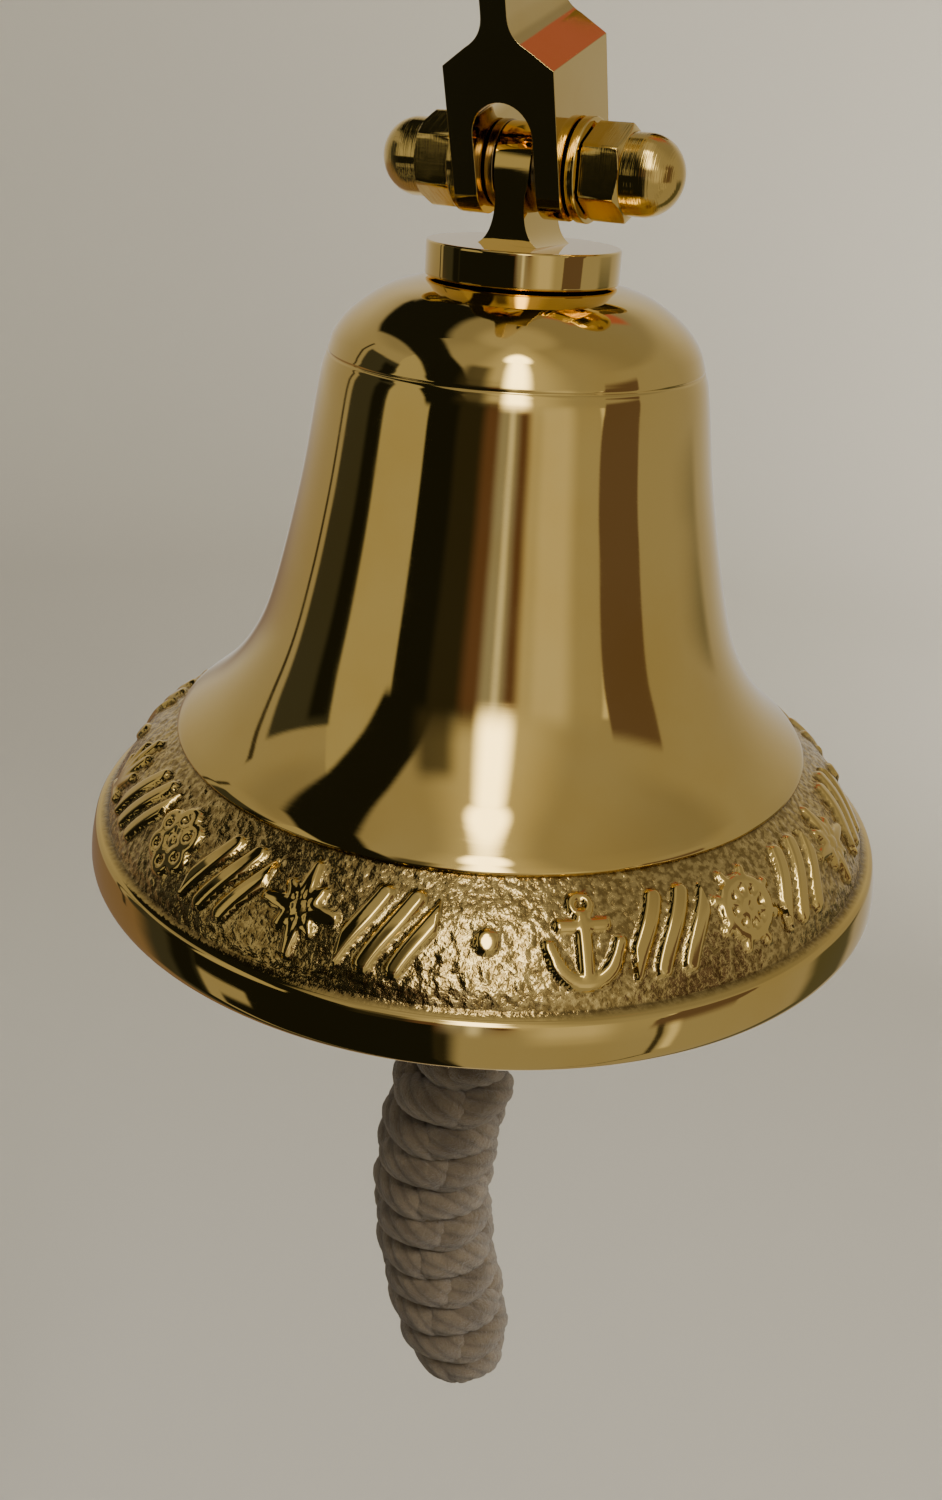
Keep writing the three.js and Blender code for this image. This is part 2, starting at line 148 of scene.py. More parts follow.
def mix_colour(tree, factor, first, second):
    values = {0: factor, 6: first, 7: second}
    return new_node(tree, "ShaderNodeMix", values, data_type="RGBA", blend_type="MIX").outputs[2]


def noise(tree, vector, scale, detail=3.0, roughness=0.5, distortion=0.0):
    return new_node(tree, "ShaderNodeTexNoise", {
        "Vector": vector, "Scale": scale, "Detail": detail, "Roughness": roughness,
        "Distortion": distortion}).outputs["Fac"]


def stretched(tree, vector, scale):
    return new_node(tree, "ShaderNodeMapping", {"Vector": vector, "Scale": scale}).outputs[0]


def bump(tree, height, distance, strength=1.0, normal=None):
    values = {"Height": height, "Distance": distance, "Strength": strength}
    if normal is not None:
        values["Normal"] = normal
    return new_node(tree, "ShaderNodeBump", values).outputs[0]


def object_place(tree):
    return new_node(tree, "ShaderNodeTexCoord").outputs["Object"]


def point_value(tree, name):
    return new_node(tree, "ShaderNodeAttribute", attribute_name=name).outputs["Fac"]


def new_material(name):
    material = bpy.data.materials.new(name)
    material.use_nodes = True
    return material, material.node_tree, material.node_tree.nodes["Principled BSDF"].inputs


def new_group(name, inputs, outputs, kind="ShaderNodeTree"):
    """A node group, with its inputs as label: (socket kind, value) and its outputs as
    label: socket kind."""
    tree = bpy.data.node_groups.new(name, kind)
    for label, (socket_kind, value) in inputs.items():
        socket = tree.interface.new_socket(name=label, in_out="INPUT",
                                           socket_type="NodeSocket" + socket_kind)
        if value is not None:
            socket.default_value = value
    for label, socket_kind in outputs.items():
        tree.interface.new_socket(name=label, in_out="OUTPUT", socket_type="NodeSocket" + socket_kind)
    return tree, new_node(tree, "NodeGroupInput").outputs, new_node(tree, "NodeGroupOutput").inputs


# ---- studio

SKY_WALL = (0.36, 0.335, 0.29, 1)
SKY_PALE = (0.60, 0.57, 0.52, 1)
SKY_CREAM = (0.78, 0.72, 0.60, 1)
SKY_UPPER = (0.28, 0.26, 0.225, 1)
SKY_CEILING = (0.45, 0.42, 0.37, 1)
SKY_STRIP = (0.44, 0.41, 0.33, 1)
SKY_DARK = (0.012, 0.013, 0.011, 1)
SKY_DIM = (0.05, 0.045, 0.035, 1)
SKY_BROWN = (0.135, 0.095, 0.085, 1)
SKY_LAMP = (7.0, 6.6, 6.0, 1)
SKY_PLAIN = (0.47, 0.44, 0.395, 1)


def make_world():
    """Plain pale light for everything but polished metal, which reflects a room of soft
    panels: a lamp ahead, a dark flag to its left, darker and paler stretches of wall.
    Bearings and heights are degrees as seen from the bell, from straight at the camera."""
    world = bpy.data.worlds.new("room")
    bpy.context.scene.world = world
    world.use_nodes = True
    tree = world.node_tree
    tree.nodes.clear()
    direction = new_node(tree, "ShaderNodeTexCoord").outputs["Generated"]
    turn = new_node(tree, "ShaderNodeVectorRotate", {"Vector": direction, "Angle": -CAMERA_YAW},
                    rotation_type="Z_AXIS")
    x, y, z = new_node(tree, "ShaderNodeSeparateXYZ", {0: turn.outputs[0]}).outputs
    degrees = 180 / math.pi
    bearing = times(tree, maths(tree, "ARCTAN2", x, times(tree, y, -1.0)), degrees)
    height = times(tree, maths(tree, "ARCSINE", z), degrees)

    def between(value, low, high, soft):
        fall = ramp(tree, value, high - soft, high + soft, 1.0, 0.0)
        return times(tree, ramp(tree, value, low - soft, low + soft), fall)

    def panel(left, right, low, high, soft=1.0, lean=0.0, ends=None):
        """A rectangle in bearing and height; lean slides it sideways as it rises, and ends
        is the softness of its top and bottom."""
        place = maths(tree, "SUBTRACT", bearing, times(tree, height, lean)) if lean else bearing
        return times(tree, between(place, left, right, soft), between(height, low, high, ends or soft))

    def oval(middle, level, half_width, half_height, soft):
        across = maths(tree, "DIVIDE", maths(tree, "SUBTRACT", bearing, middle), half_width)
        upward = maths(tree, "DIVIDE", maths(tree, "SUBTRACT", height, level), half_height)
        square = maths(tree, "ADD", times(tree, across, across), times(tree, upward, upward))
        return ramp(tree, maths(tree, "SQRT", square), 1 - soft, 1 + soft, 1.0, 0.0)

    def most(*masks):
        return maths(tree, "MAXIMUM", *masks)

    # The dark flag arches over from the left and comes down beside the lamp.
    flag = most(oval(-95, 15, 68, 48, 0.03), panel(-163, -100, 36, 66, 1.5, ends=2.5))
    pocket = most(oval(-96, -1, 47, 46, 0.03), panel(-250, -105, -100, 35, 1.5))
    flag = times(tree, flag, maths(tree, "SUBTRACT", 1.0, pocket))
    flag = times(tree, flag, ramp(tree, height, 10, 16))

    sides = maths(tree, "ABSOLUTE", bearing)
    glow = times(tree, between(bearing, -20, 27, 15), between(height, -2, 80, 12))
    lamp = most(panel(-5, 9, 22, 64, 4.5, ends=8), oval(2, 64, 12, 7, 0.4))
    paints = [
        (times(tree, ramp(tree, sides, 116, 165), ramp(tree, height, 20, 40, 1.0, 0.0)), SKY_PALE),
        (times(tree, ramp(tree, sides, 50, 100), between(height, 36, 77, 5)), SKY_UPPER),
        (ramp(tree, height, 74, 82), SKY_CEILING),
        (times(tree, glow, 0.65), SKY_CREAM),
        (panel(-78, -47, -1, 44, 0.7), SKY_STRIP),
        (flag, SKY_DARK),
        (times(tree, panel(-34, -17, 14, 47, 5), 0.85), SKY_DIM),
        (panel(-48, -13, -100, 20, 0.8, ends=5), SKY_DARK),
        (panel(-30, -4, -100, 24, 2.5, ends=10), (0.03, 0.028, 0.022, 1)),
        (panel(-15, 11, -6, 22, 3.5, ends=8), (0.13, 0.075, 0.06, 1)),
        (panel(-6.5, 4.5, -8, 24, 2.8, ends=6), (0.33, 0.33, 0.36, 1)),
        (panel(-0.8, 2.2, -10, 26, 1.4, ends=4), (0.75, 0.74, 0.74, 1)),
        (panel(-106, -77, -100, 25, 1.2), (0.05, 0.052, 0.05, 1)),
        (panel(-88, -78, -100, 22, 2.2), SKY_DARK),
        (panel(-61, -9, -100, -1, 0.8), SKY_DARK),
        (panel(-78, -58, -18, -1.5, 1.0), SKY_DARK),
        (panel(-71, -58, -100, -27, 0.8, ends=2), SKY_DARK),
        (panel(-160, -101, -100, -10, 6), (0.22, 0.16, 0.12, 1)),
        (panel(14, 52, -14, 20, 4, ends=8), (0.40, 0.37, 0.31, 1)),
        (panel(16, 35, -14, 22, 5, ends=6), (0.64, 0.60, 0.53, 1)),
        (panel(48.5, 50.5, -100, 0, 0.6), SKY_DIM),
        (panel(52, 55, -30, 18, 1.2), SKY_CREAM),
        (panel(50, 75, -12, 24, 0.8, lean=0.3, ends=3), SKY_BROWN),
        (panel(101, 124, -100, -6, 4), (0.10, 0.10, 0.075, 1)),
        (panel(-112, -110, -20, 30, 0.6), SKY_DIM),
        (panel(144, 172, 42, 64, 2.0), (0.42, 0.13, 0.10, 1)),
        (lamp, SKY_LAMP),
    ]
    colour = SKY_WALL
    for mask, paint in paints:
        colour = mix_colour(tree, mask, colour, paint)
    room, plain = (new_node(tree, "ShaderNodeBackground", {"Color": tone}).outputs[0]
                   for tone in (colour, SKY_PLAIN))
    mirrored = new_node(tree, "ShaderNodeLightPath").outputs["Is Glossy Ray"]
    choose = new_node(tree, "ShaderNodeMixShader", {0: mirrored, 1: plain, 2: room})
    new_node(tree, "ShaderNodeOutputWorld", {0: choose.outputs[0]})


def make_floor():
    """A pale floor that sweeps up all round into a plain backdrop."""
    level = cad_bounds[0][2] - 0.45
    flat, sweep, rim = 2.0, 0.9, 2.6
    bend = np.radians(np.linspace(0, 90, 13))
    profile = [(0, 0), (flat * 0.5, 0)]
    profile += [(flat + sweep * math.sin(t), sweep * (1 - math.cos(t))) for t in bend]
    profile.append((flat + sweep, rim))
    vertices, faces = turned_mesh(profile, 96, False)
    vertices += np.array((AXIS_X, AXIS_Y, level))
    material, tree, shader = new_material("floor_paint")
    cloud = noise(tree, object_place(tree), 0.8, 2, 0.5)
    paint = mix_colour(tree, cloud, (0.60, 0.58, 0.515, 1), (0.66, 0.64, 0.575, 1))
    feed(tree, shader, {"Base Color": paint, "Roughness": 0.9, "Specular IOR Level": 0.1})
    floor = to_object("floor", vertices, [face[::-1] for face in faces], material, 60)
    floor.visible_glossy = False


def away_from_bell(bearing, height):
    """Unit direction from the bell; bearing is to the right of the camera, in degrees."""
    turn = math.radians(bearing) + CAMERA_YAW
    rise = math.radians(height)
    level = math.cos(rise)
    return Vector((math.sin(turn) * level, -math.cos(turn) * level, math.sin(rise)))


def make_light(name, bearing, height, distance, size, power, colour, aim=None):
    """A soft round light, pointed at the bell or level along the aim bearing."""
    away = away_from_bell(bearing, height)
    data = bpy.data.lights.new(name, "AREA")
    data.shape = "DISK"
    data.size = size
    data.energy = power
    data.color = colour
    light = bpy.data.objects.new(name, data)
    light.location = ORIGIN + away * distance
    facing = -away if aim is None else away_from_bell(aim, 0)
    light.rotation_euler = facing.to_track_quat("-Z", "Y").to_euler()
    light.visible_glossy = False
    bpy.context.scene.collection.objects.link(light)


make_camera()
make_world()


# ---- materials

def make_polish_group():
    """Hand-polished brass: faint waves left by the buff, fine wipe marks and a light
    unevenness of tone."""
    tree, given, result = new_group(
        "buffed_brass",
        {"Place": ("Vector", None), "Tone": ("Color", None), "Deep Tone": ("Color", None),
         "Polish": ("Float", 0.06), "Wave": ("Float", 0.3)},
        {"Color": "Color", "Roughness": "Float", "Normal": "Vector"})
    place = given["Place"]
    tone = ramp(tree, noise(tree, place, 38, 4, 0.55), 0.35, 0.75)
    wipe = noise(tree, stretched(tree, place, (150, 150, 2600)), 1.0, 3, 0.6)
    smear = ramp(tree, noise(tree, place, 90, 5, 0.65), 0.42, 0.8)
    rough = maths(tree, "MULTIPLY_ADD", smear, 0.05, given["Polish"])
    slow = noise(tree, place, 55, 1, 0.4)
    height = maths(tree, "MULTIPLY_ADD", slow, given["Wave"], times(tree, wipe, 0.004))
    feed(tree, result, {
        "Color": mix_colour(tree, tone, given["Tone"], given["Deep Tone"]),
        "Roughness": maths(tree, "MULTIPLY_ADD", ramp(tree, wipe, 0.5, 0.8), 0.03, rough),
        "Normal": bump(tree, height, 0.0004)})
    return tree


POLISH = make_polish_group()
BRASS_TONE = (0.82, 0.60, 0.20, 1)
BRASS_DEEP = (0.79, 0.555, 0.165, 1)


def buffed(tree, place, tone, deep, polish, wave):
    values = {"Place": place, "Tone": tone, "Deep Tone": deep, "Polish": polish, "Wave": wave}
    return new_node(tree, "ShaderNodeGroup", values, node_tree=POLISH).outputs


def brass(name, polish, wave, tone=BRASS_TONE, deep=BRASS_DEEP, lathe_lines=None):
    """Plain polished brass; lathe_lines gives the scale of fine cutting lines along X, Y and Z."""
    material, tree, shader = new_material(name)
    place = object_place(tree)
    surface = buffed(tree, place, tone, deep, polish, wave)
    normal = surface["Normal"]
    if lathe_lines:
        cuts = noise(tree, stretched(tree, place, lathe_lines), 1.0, 2, 0.6)
        normal = bump(tree, cuts, 0.00006, 0.6, normal)
    feed(tree, shader, {"Base Color": surface["Color"], "Roughness": surface["Roughness"],
                        "Normal": normal, "Metallic": 1.0})
    return material


def bell_brass():
    """Polished brass, with a dark grained ground in the relief band and a plain turned inside."""
    material, tree, shader = new_material("bell_brass")
    place = object_place(tree)
    surface = buffed(tree, place, BRASS_TONE, BRASS_DEEP, 0.035, 0.14)
    ground, crevice, inside = (point_value(tree, name) for name in ("ground", "crevice", "inside"))
    grain = noise(tree, place, 950, 2, 0.55)
    tarnish = mix_colour(tree, ramp(tree, grain, 0.38, 0.62), (0.27, 0.18, 0.06, 1), (0.70, 0.52, 0.20, 1))
    colour = mix_colour(tree, times(tree, ground, 0.85), surface["Color"], tarnish)
    colour = mix_colour(tree, times(tree, crevice, 0.85), colour, (0.12, 0.075, 0.025, 1))
    cloud = noise(tree, place, 60, 4, 0.6)
    dull = mix_colour(tree, cloud, (0.42, 0.30, 0.13, 1), (0.62, 0.46, 0.20, 1))
    rough = maths(tree, "MULTIPLY_ADD", ground, 0.14, surface["Roughness"])
    rings = noise(tree, stretched(tree, place, (40, 40, 2200)), 1.0, 3, 0.6)
    depth = maths(tree, "MULTIPLY_ADD", times(tree, rings, inside), 0.35, times(tree, grain, ground))
    feed(tree, shader, {
        "Base Color": mix_colour(tree, inside, colour, dull),
        "Roughness": maths(tree, "MULTIPLY_ADD", inside, 0.27, rough),
        "Normal": bump(tree, depth, 0.0002, 1.0, surface["Normal"]), "Metallic": 1.0})
    return material


def make_fibre_group():
    """Soft cotton: fine fibres over the yarns, painted shade in the grooves between the yarns and a mottled
    dye.
    """
    tree, given, result = new_group(
        "cotton_fibre",
        {"Place": ("Vector", None), "Hollow": ("Float", 0.0), "Clean": ("Color", None),
         "Grimy": ("Color", None)},
        {"Color": "Color", "Normal": "Vector"})
    place = given["Place"]
    mottle = ramp(tree, noise(tree, place, 140, 4, 0.6), 0.3, 0.75)
    colour = mix_colour(tree, mottle, given["Clean"], given["Grimy"])
    fleck = ramp(tree, noise(tree, place, 1800, 2, 0.7), 0.45, 0.75)
    colour = mix_colour(tree, times(tree, fleck, 0.35), colour, given["Grimy"])
    fibre = noise(tree, place, 2600, 3, 0.7, 1.5)
    tuft = noise(tree, place, 700, 3, 0.6, 0.6)
    # Painted shade: the grooves between the yarns are darkened towards near black.
    feed(tree, result, {
        "Color": mix_colour(tree, times(tree, given["Hollow"], 0.6), colour, (0.07, 0.052, 0.034, 1)),
        "Normal": bump(tree, maths(tree, "MULTIPLY_ADD", tuft, 1.6, fibre), 0.0005, 0.9)})
    return tree


FIBRE = make_fibre_group()


def cotton(name, clean, grimy):
    material, tree, shader = new_material(name)
    values = {"Place": object_place(tree), "Hollow": point_value(tree, "hollow"), "Clean": clean,
              "Grimy": grimy}
    fibre = new_node(tree, "ShaderNodeGroup", values, node_tree=FIBRE).outputs
    feed(tree, shader, {"Base Color": fibre["Color"], "Normal": fibre["Normal"], "Roughness": 0.95,
                        "Sheen Weight": 0.35, "Sheen Roughness": 0.5, "Specular IOR Level": 0.15})
    return material


# ---- mesh helpers

SMOOTH_ANGLE = 38


def linked(name, vertices, edges=(), faces=()):
    mesh = bpy.data.meshes.new(name)
    mesh.from_pydata([tuple(v) for v in vertices], edges, faces)
    piece = bpy.data.objects.new(name, mesh)
    bpy.context.scene.collection.objects.link(piece)
    return piece


def to_object(name, vertices, faces, material, sharp=SMOOTH_ANGLE):
    piece = linked(name, vertices, [], faces)
    piece.data.materials.append(material)
    smooth(piece, sharp)
    return piece


def smooth(piece, sharp=SMOOTH_ANGLE):
    mesh = piece.data
    mesh.validate()
    mesh.polygons.foreach_set("use_smooth", [True] * len(mesh.polygons))
    mesh.set_sharp_from_angle(angle=math.radians(sharp))
    mesh.update()


def reworked(piece, distance, steps):
    """Weld points closer than distance, then run these steps on the mesh."""
    work = bmesh.new()
    work.from_mesh(piece.data)
    bmesh.ops.remove_doubles(work, verts=work.verts, dist=distance)
    steps(work)
    work.to_mesh(piece.data)
    work.free()


def solid(name, vertices, faces, material):
    """A closed piece whose faces all point outwards."""
    piece = to_object(name, vertices, faces, material)
    reworked(piece, 1e-7, lambda work: bmesh.ops.recalc_face_normals(work, faces=work.faces))
    smooth(piece)
    return piece


def flattened(piece, distance, degrees):
    """Dissolve the lines that cross the piece's flat faces."""
    reworked(piece, distance, lambda work: bmesh.ops.dissolve_limit(
        work, angle_limit=math.radians(degrees), verts=work.verts, edges=work.edges))


def painted(piece, name, material):
    piece.name = name
    piece.data.materials.clear()
    piece.data.materials.append(material)


def store(piece, **fields):
    """Keep one value for each point of the mesh under each of these names."""
    for name, values in fields.items():
        attribute = piece.data.attributes.new(name, "FLOAT", "POINT")
        attribute.data.foreach_set("value", np.asarray(values, np.float32))


def baked(piece):
    """Turn a piece and its modifiers into one plain mesh."""
    bpy.context.view_layer.update()
    solved = piece.evaluated_get(bpy.context.evaluated_depsgraph_get())
    mesh = bpy.data.meshes.new_from_object(solved)
    old = piece.data
    piece.modifiers.clear()
    piece.data = mesh
    bpy.data.meshes.remove(old)
    return piece


def spline(points, count):
    """Points spaced evenly along a smooth curve through the given ones."""
    given = np.array([points[0], *points, points[-1]], float)
    t = np.linspace(0, 1, 24, endpoint=False)[:, None]
    runs = []
    for a, b, c, d in zip(given, given[1:], given[2:], given[3:]):
        v0, v1 = (c - a) / 2, (d - b) / 2
        runs.append((2 * b - 2 * c + v0 + v1) * t ** 3
                    + (-3 * b + 3 * c - 2 * v0 - v1) * t ** 2 + v0 * t + b)
    return evenly(np.vstack([*runs, given[-1:]]), count)


def evenly(path, count):
    step = np.r_[0, np.cumsum(np.linalg.norm(np.diff(path, axis=0), axis=1))]
    wanted = np.linspace(0, step[-1], count)
    return np.stack([np.interp(wanted, step, path[:, k]) for k in range(path.shape[1])], 1)


def eased(outline, radius, closed=False, steps=3):
    """The outline with its corners rounded off."""
    points = np.array(outline, float)
    count = len(points)
    result = []
    for i in range(count):
        if not closed and i in (0, count - 1):
            result.append(points[i])
            continue
        before, here, after = points[i - 1], points[i], points[(i + 1) % count]
        back, ahead = before - here, after - here
        cut = min(radius, np.linalg.norm(back) * 0.45, np.linalg.norm(ahead) * 0.45)
        start = here + back / np.linalg.norm(back) * cut
        end = here + ahead / np.linalg.norm(ahead) * cut
        for k in range(steps + 1):
            t = k / steps
            result.append((1 - t) ** 2 * start + 2 * t * (1 - t) * here + t * t * end)
    return np.array(result)


def full_turn(facets):
    return np.arange(facets) / facets * 2 * math.pi


def turned_mesh(profile, facets, closed):
    """Vertices and faces of [radius, height] points turned about +Z. A closed profile is a
    ring; an open one starts and ends on the axis."""
    vertices, rings = [], []
    for radius, height in profile:
        if radius < 1e-6:
            rings.append([len(vertices)] * facets)
            vertices.append((0, 0, height))
            continue
        rings.append(list(range(len(vertices), len(vertices) + facets)))
        vertices += [(radius * math.cos(a), radius * math.sin(a), height) for a in full_turn(facets)]
    faces = []
    for low, high in zip(rings, rings[1:] + rings[:1] if closed else rings[1:]):
        for k in range(facets):
            n = (k + 1) % facets
            corners = [low[k], low[n], high[n], high[k]]
            face = [c for i, c in enumerate(corners) if c != corners[i - 1]]
            if len(face) > 2:
                faces.append(face)
    return np.array(vertices, float), faces


AXES = {
    "z": Matrix.Identity(3),
    "x": Matrix(((0, 0, 1), (0, 1, 0), (-1, 0, 0))),
    "-x": Matrix(((0, 0, -1), (0, 1, 0), (1, 0, 0))),
}


def placed(vertices, axis="z", origin=ORIGIN):
    """Millimetre vertices turned from +Z onto an axis and moved to a place in the frame."""
    return vertices @ np.array(AXES[axis]).T * MM + np.array(origin)


def turned(name, profile, material, origin=ORIGIN, axis="z", facets=96, closed=False, ease=0.25):
    outline = eased(profile, ease, closed) if ease else np.array(profile, float)
    vertices, faces = turned_mesh(outline, facets, closed)
    return solid(name, placed(vertices, axis, origin), faces, material)


def stacked_faces(rings, sides):
    """Faces that join rings of points listed one after another, and close both ends."""
    faces = []
    for k in range(rings - 1):
        for i in range(sides):
            n = (i + 1) % sides
            faces.append((k * sides + i, k * sides + n, (k + 1) * sides + n, (k + 1) * sides + i))
    top = (rings - 1) * sides
    return [*faces, list(range(sides))[::-1], list(range(top, top + sides))]


def thread_turn(levels, pitch, facets):
    """How far round its thread each point of a screw is, from 0 to 1."""
    return (levels[:, None] / pitch - full_turn(facets) / (2 * math.pi)) % 1


def post(radius, low, high):
    """Profile of a plain round bar."""
    return [(0, low), (radius, low), (radius, high), (0, high)]


def sleeve(inner, outer, low, high):
    return [(inner, low), (outer, low), (outer, high), (inner, high)]


def finish_piece(piece, body, slot, *nodes):
    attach(piece, body)
    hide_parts(*nodes)
    return piece


make_floor()
make_light("key", 50, 42, 1.3, 0.5, 16.0, (1.0, 0.95, 0.87))
make_light("fill", -70, 25, 1.5, 0.9, 3.0, (0.95, 0.97, 1.0))
make_light("backdrop", 104, 4, 1.7, 0.8, 68.0, (1.0, 0.955, 0.885), aim=160)

# ---- bell

COLUMNS = 300
BAND_COLUMNS = 1200
BAND_ROWS = 50
RELIEF = 0.95                            # height of the cast figures, mm
BAND_SINK = 1.15                         # the band's ground lies this far under the plain surface
BAND_LOW = 7.9
BAND_HIGH = 24.4
CROWN_TOP = 104.9
CROWN_UNDER = 100.2
BORE = 4.3

FLANK = [(73.9, 7.6), (72, 12), (66.8, 19), (59.2, 24.8), (51.2, 32), (45.5, 40), (41.6, 50), (36.8, 70),
         (33.7, 88), (32.6, 92), (32.1, 93.6), (31.1, 96), (28.2, 99.3), (22.6, 103), (16.4, CROWN_TOP)]
LIP = [(72.6, -1.2), (75.3, -1.2), (76, 0.2), (75.95, 1.6), (75.75, 3.4), (75.3, 5.6), (74.8, 7.3)]
INNER_DOME = [(28.3, 91), (24.9, 96.3), (20, 99.3), (14, CROWN_UNDER)]
INNER_LIP = [(69.2, 0.6), (70.4, -0.9)]
GROOVE = {"level": 92.4, "depth": 0.26, "half_width": 0.2, "reach": 1.0}
DOT = [(0, 0), (0, 0.01)]


def side_normals(path):
    along = np.gradient(path, axis=0)
    along /= np.linalg.norm(along, axis=1)[:, None]
    return np.stack([along[:, 1], -along[:, 0]], 1)


def circle(cx, cy, radius, start=0, end=360, steps=16):
    angles = np.radians(np.linspace(start, end, steps + 1))
    return np.stack([cx + radius * np.cos(angles), cy + radius * np.sin(angles)], 1)


# Each cast figure is a list of strokes: (half width, points), in mm from its middle.

def anchor():
    return [
        (0.85, circle(0, 5.7, 1.5)), (1.35, [(0, 3.8), (0, -6)]), (1.15, [(-3.6, 2.5), (3.6, 2.5)]),
        (1.35, circle(0, -1.2, 5.1, 202, 338)), (1.2, [(-4.6, -3.4), (-5.7, -0.6)]),
        (1.2, [(4.6, -3.4), (5.7, -0.6)]),
    ]


def cable():
    y = np.linspace(-5.6, 5.6, 12)
    lean = 0.42 * y + 0.8 * np.sin(y / 5.6 * math.pi / 2)
    return [(1.55, np.stack([middle + lean, y], 1)) for middle in (-5.0, 0, 5.0)]


def rosette():
    petals = []
    for angle in np.radians(np.arange(6) * 60 + 30):
        petals.append((1.2, circle(3.9 * math.cos(angle) * 0.92, 3.9 * math.sin(angle), 1.6)))
    return [*petals, (1.3, DOT)]


def star():
    points = []
    for k in range(17):
        radius = 7.2 if k % 4 == 0 else 4.6 if k % 2 == 0 else 2.2
        angle = math.radians(90 + k * 22.5)
        points.append((radius * math.cos(angle) * 0.86, radius * math.sin(angle)))
    return [(1.0, points), (1.6, DOT)]


def wheel():
    spokes = []
    for angle in np.radians(22.5 + np.arange(8) * 45):
        way = np.array([math.cos(angle) * 0.92, math.sin(angle)])
        spokes.append((0.95, [way * 1.5, way * 6.6]))
    return [(1.25, circle(0, 0, 4.5)), (1.2, circle(0, 0, 1.2)), *spokes]


def shell():
    ribs = []
    for degrees in (-62, -32, 0, 32, 62):
        angle = math.radians(degrees)
        tip = 10.2 - abs(degrees) / 22
        ribs.append((1.2, [(0, -5.4), (math.sin(angle) * tip * 0.62, -5.4 + math.cos(angle) * tip + 1.2)]))
    return [*ribs, (1.3, [(-2.6, -6.2), (2.6, -6.2)])]


def boss():
    return [(2.0, DOT)]


FRIEZE = [
    boss(), anchor(), cable(), wheel(), cable(), star(), cable(),
    boss(), shell(), cable(), rosette(), cable(), star(), cable(),
]
FRIEZE_TURNS = 2
FRIEZE_START = 26.5                      # bearing of the first boss to the right of the bell's front


def relief_height(x, y, figure):
    """Height from 0 to 1 of a cast figure of round-topped strokes, at points in mm."""
    height = np.zeros_like(x)
    for half, line in figure:
        line = np.array(line, float)
        for a, b in zip(line, line[1:]):
            run = b - a
            t = np.clip(((x - a[0]) * run[0] + (y - a[1]) * run[1]) / (run @ run), 0, 1)
            away = np.hypot(x - a[0] - t * run[0], y - a[1] - t * run[1])
            inside = np.clip((half - away) / min(half, 0.95), 0, 1)
            height = np.maximum(height, np.sqrt(1 - (1 - inside) ** 2) * min(1, 0.55 + half * 0.35))
    return height


def grain_field(rows, columns, cell, seed):
    """Smooth random bumps about cell grid steps wide, which repeat round the bell."""
    rng = np.random.default_rng(seed)
    coarse = rng.standard_normal((rows // cell + 3, columns // cell))
    u = np.arange(rows)[:, None] / cell
    v = np.arange(columns)[None, :] / cell + u * 0.6
    i, j = np.floor(u).astype(int), np.floor(v).astype(int)
    fu, fv = u - i, v - j
    fu, fv = fu * fu * (3 - 2 * fu), fv * fv * (3 - 2 * fv)
    width = coarse.shape[1]
    low, high = (coarse[i + k, j % width] * (1 - fv) + coarse[i + k, (j + 1) % width] * fv for k in (0, 1))
    return low * (1 - fu) + high * fu


def band_surface(path, normals):
    """Radius, height, ground and crevice of the relief band, row by row and column by column."""
    slant = np.r_[0, np.cumsum(np.linalg.norm(np.diff(path, axis=0), axis=1))]
    y = (slant - slant[-1] * 0.5)[:, None] * np.ones((1, BAND_COLUMNS))
    bearing = (np.arange(BAND_COLUMNS) / BAND_COLUMNS * 360 + 90 - FRIEZE_START) % 360
    slots = len(FRIEZE) * FRIEZE_TURNS
    position = bearing / 360 * slots
    slot = np.round(position).astype(int) % slots
    middle_radius = path[:, 0].mean()
    pitch = 2 * math.pi * middle_radius / slots
    x = ((position - np.round(position)) * pitch)[None, :] * (path[:, 0] / middle_radius)[:, None]
    height = np.zeros_like(y)
    for k, figure in enumerate(FRIEZE):
        columns = slot % len(FRIEZE) == k
        height[:, columns] = relief_height(x[:, columns], y[:, columns], figure)
    ground = np.clip(1 - height * 3, 0, 1)
    coarse, fine = (grain_field(BAND_ROWS, BAND_COLUMNS, cell, seed) for cell, seed in ((3, 5), (2, 11)))
    edge = np.minimum(slant, slant[-1] - slant)[:, None]
    bumps = (coarse * 0.55 + fine * 0.45) * ground * np.clip(edge / 0.8, 0, 1)
    lift = height * RELIEF + bumps * 0.09
    crevice = np.clip(1 - np.abs(height - 0.12) / 0.12, 0, 1) + np.clip(1 - edge / 0.5, 0, 1) * 0.8
    radius = path[:, :1] + normals[:, :1] * lift
    level = path[:, 1:] + normals[:, 1:] * lift
    return radius, level, ground, np.clip(crevice, 0, 1)


def wall_at(level):
    return 4.4 + 3.2 * np.exp(-((level - 6) / 11) ** 2)


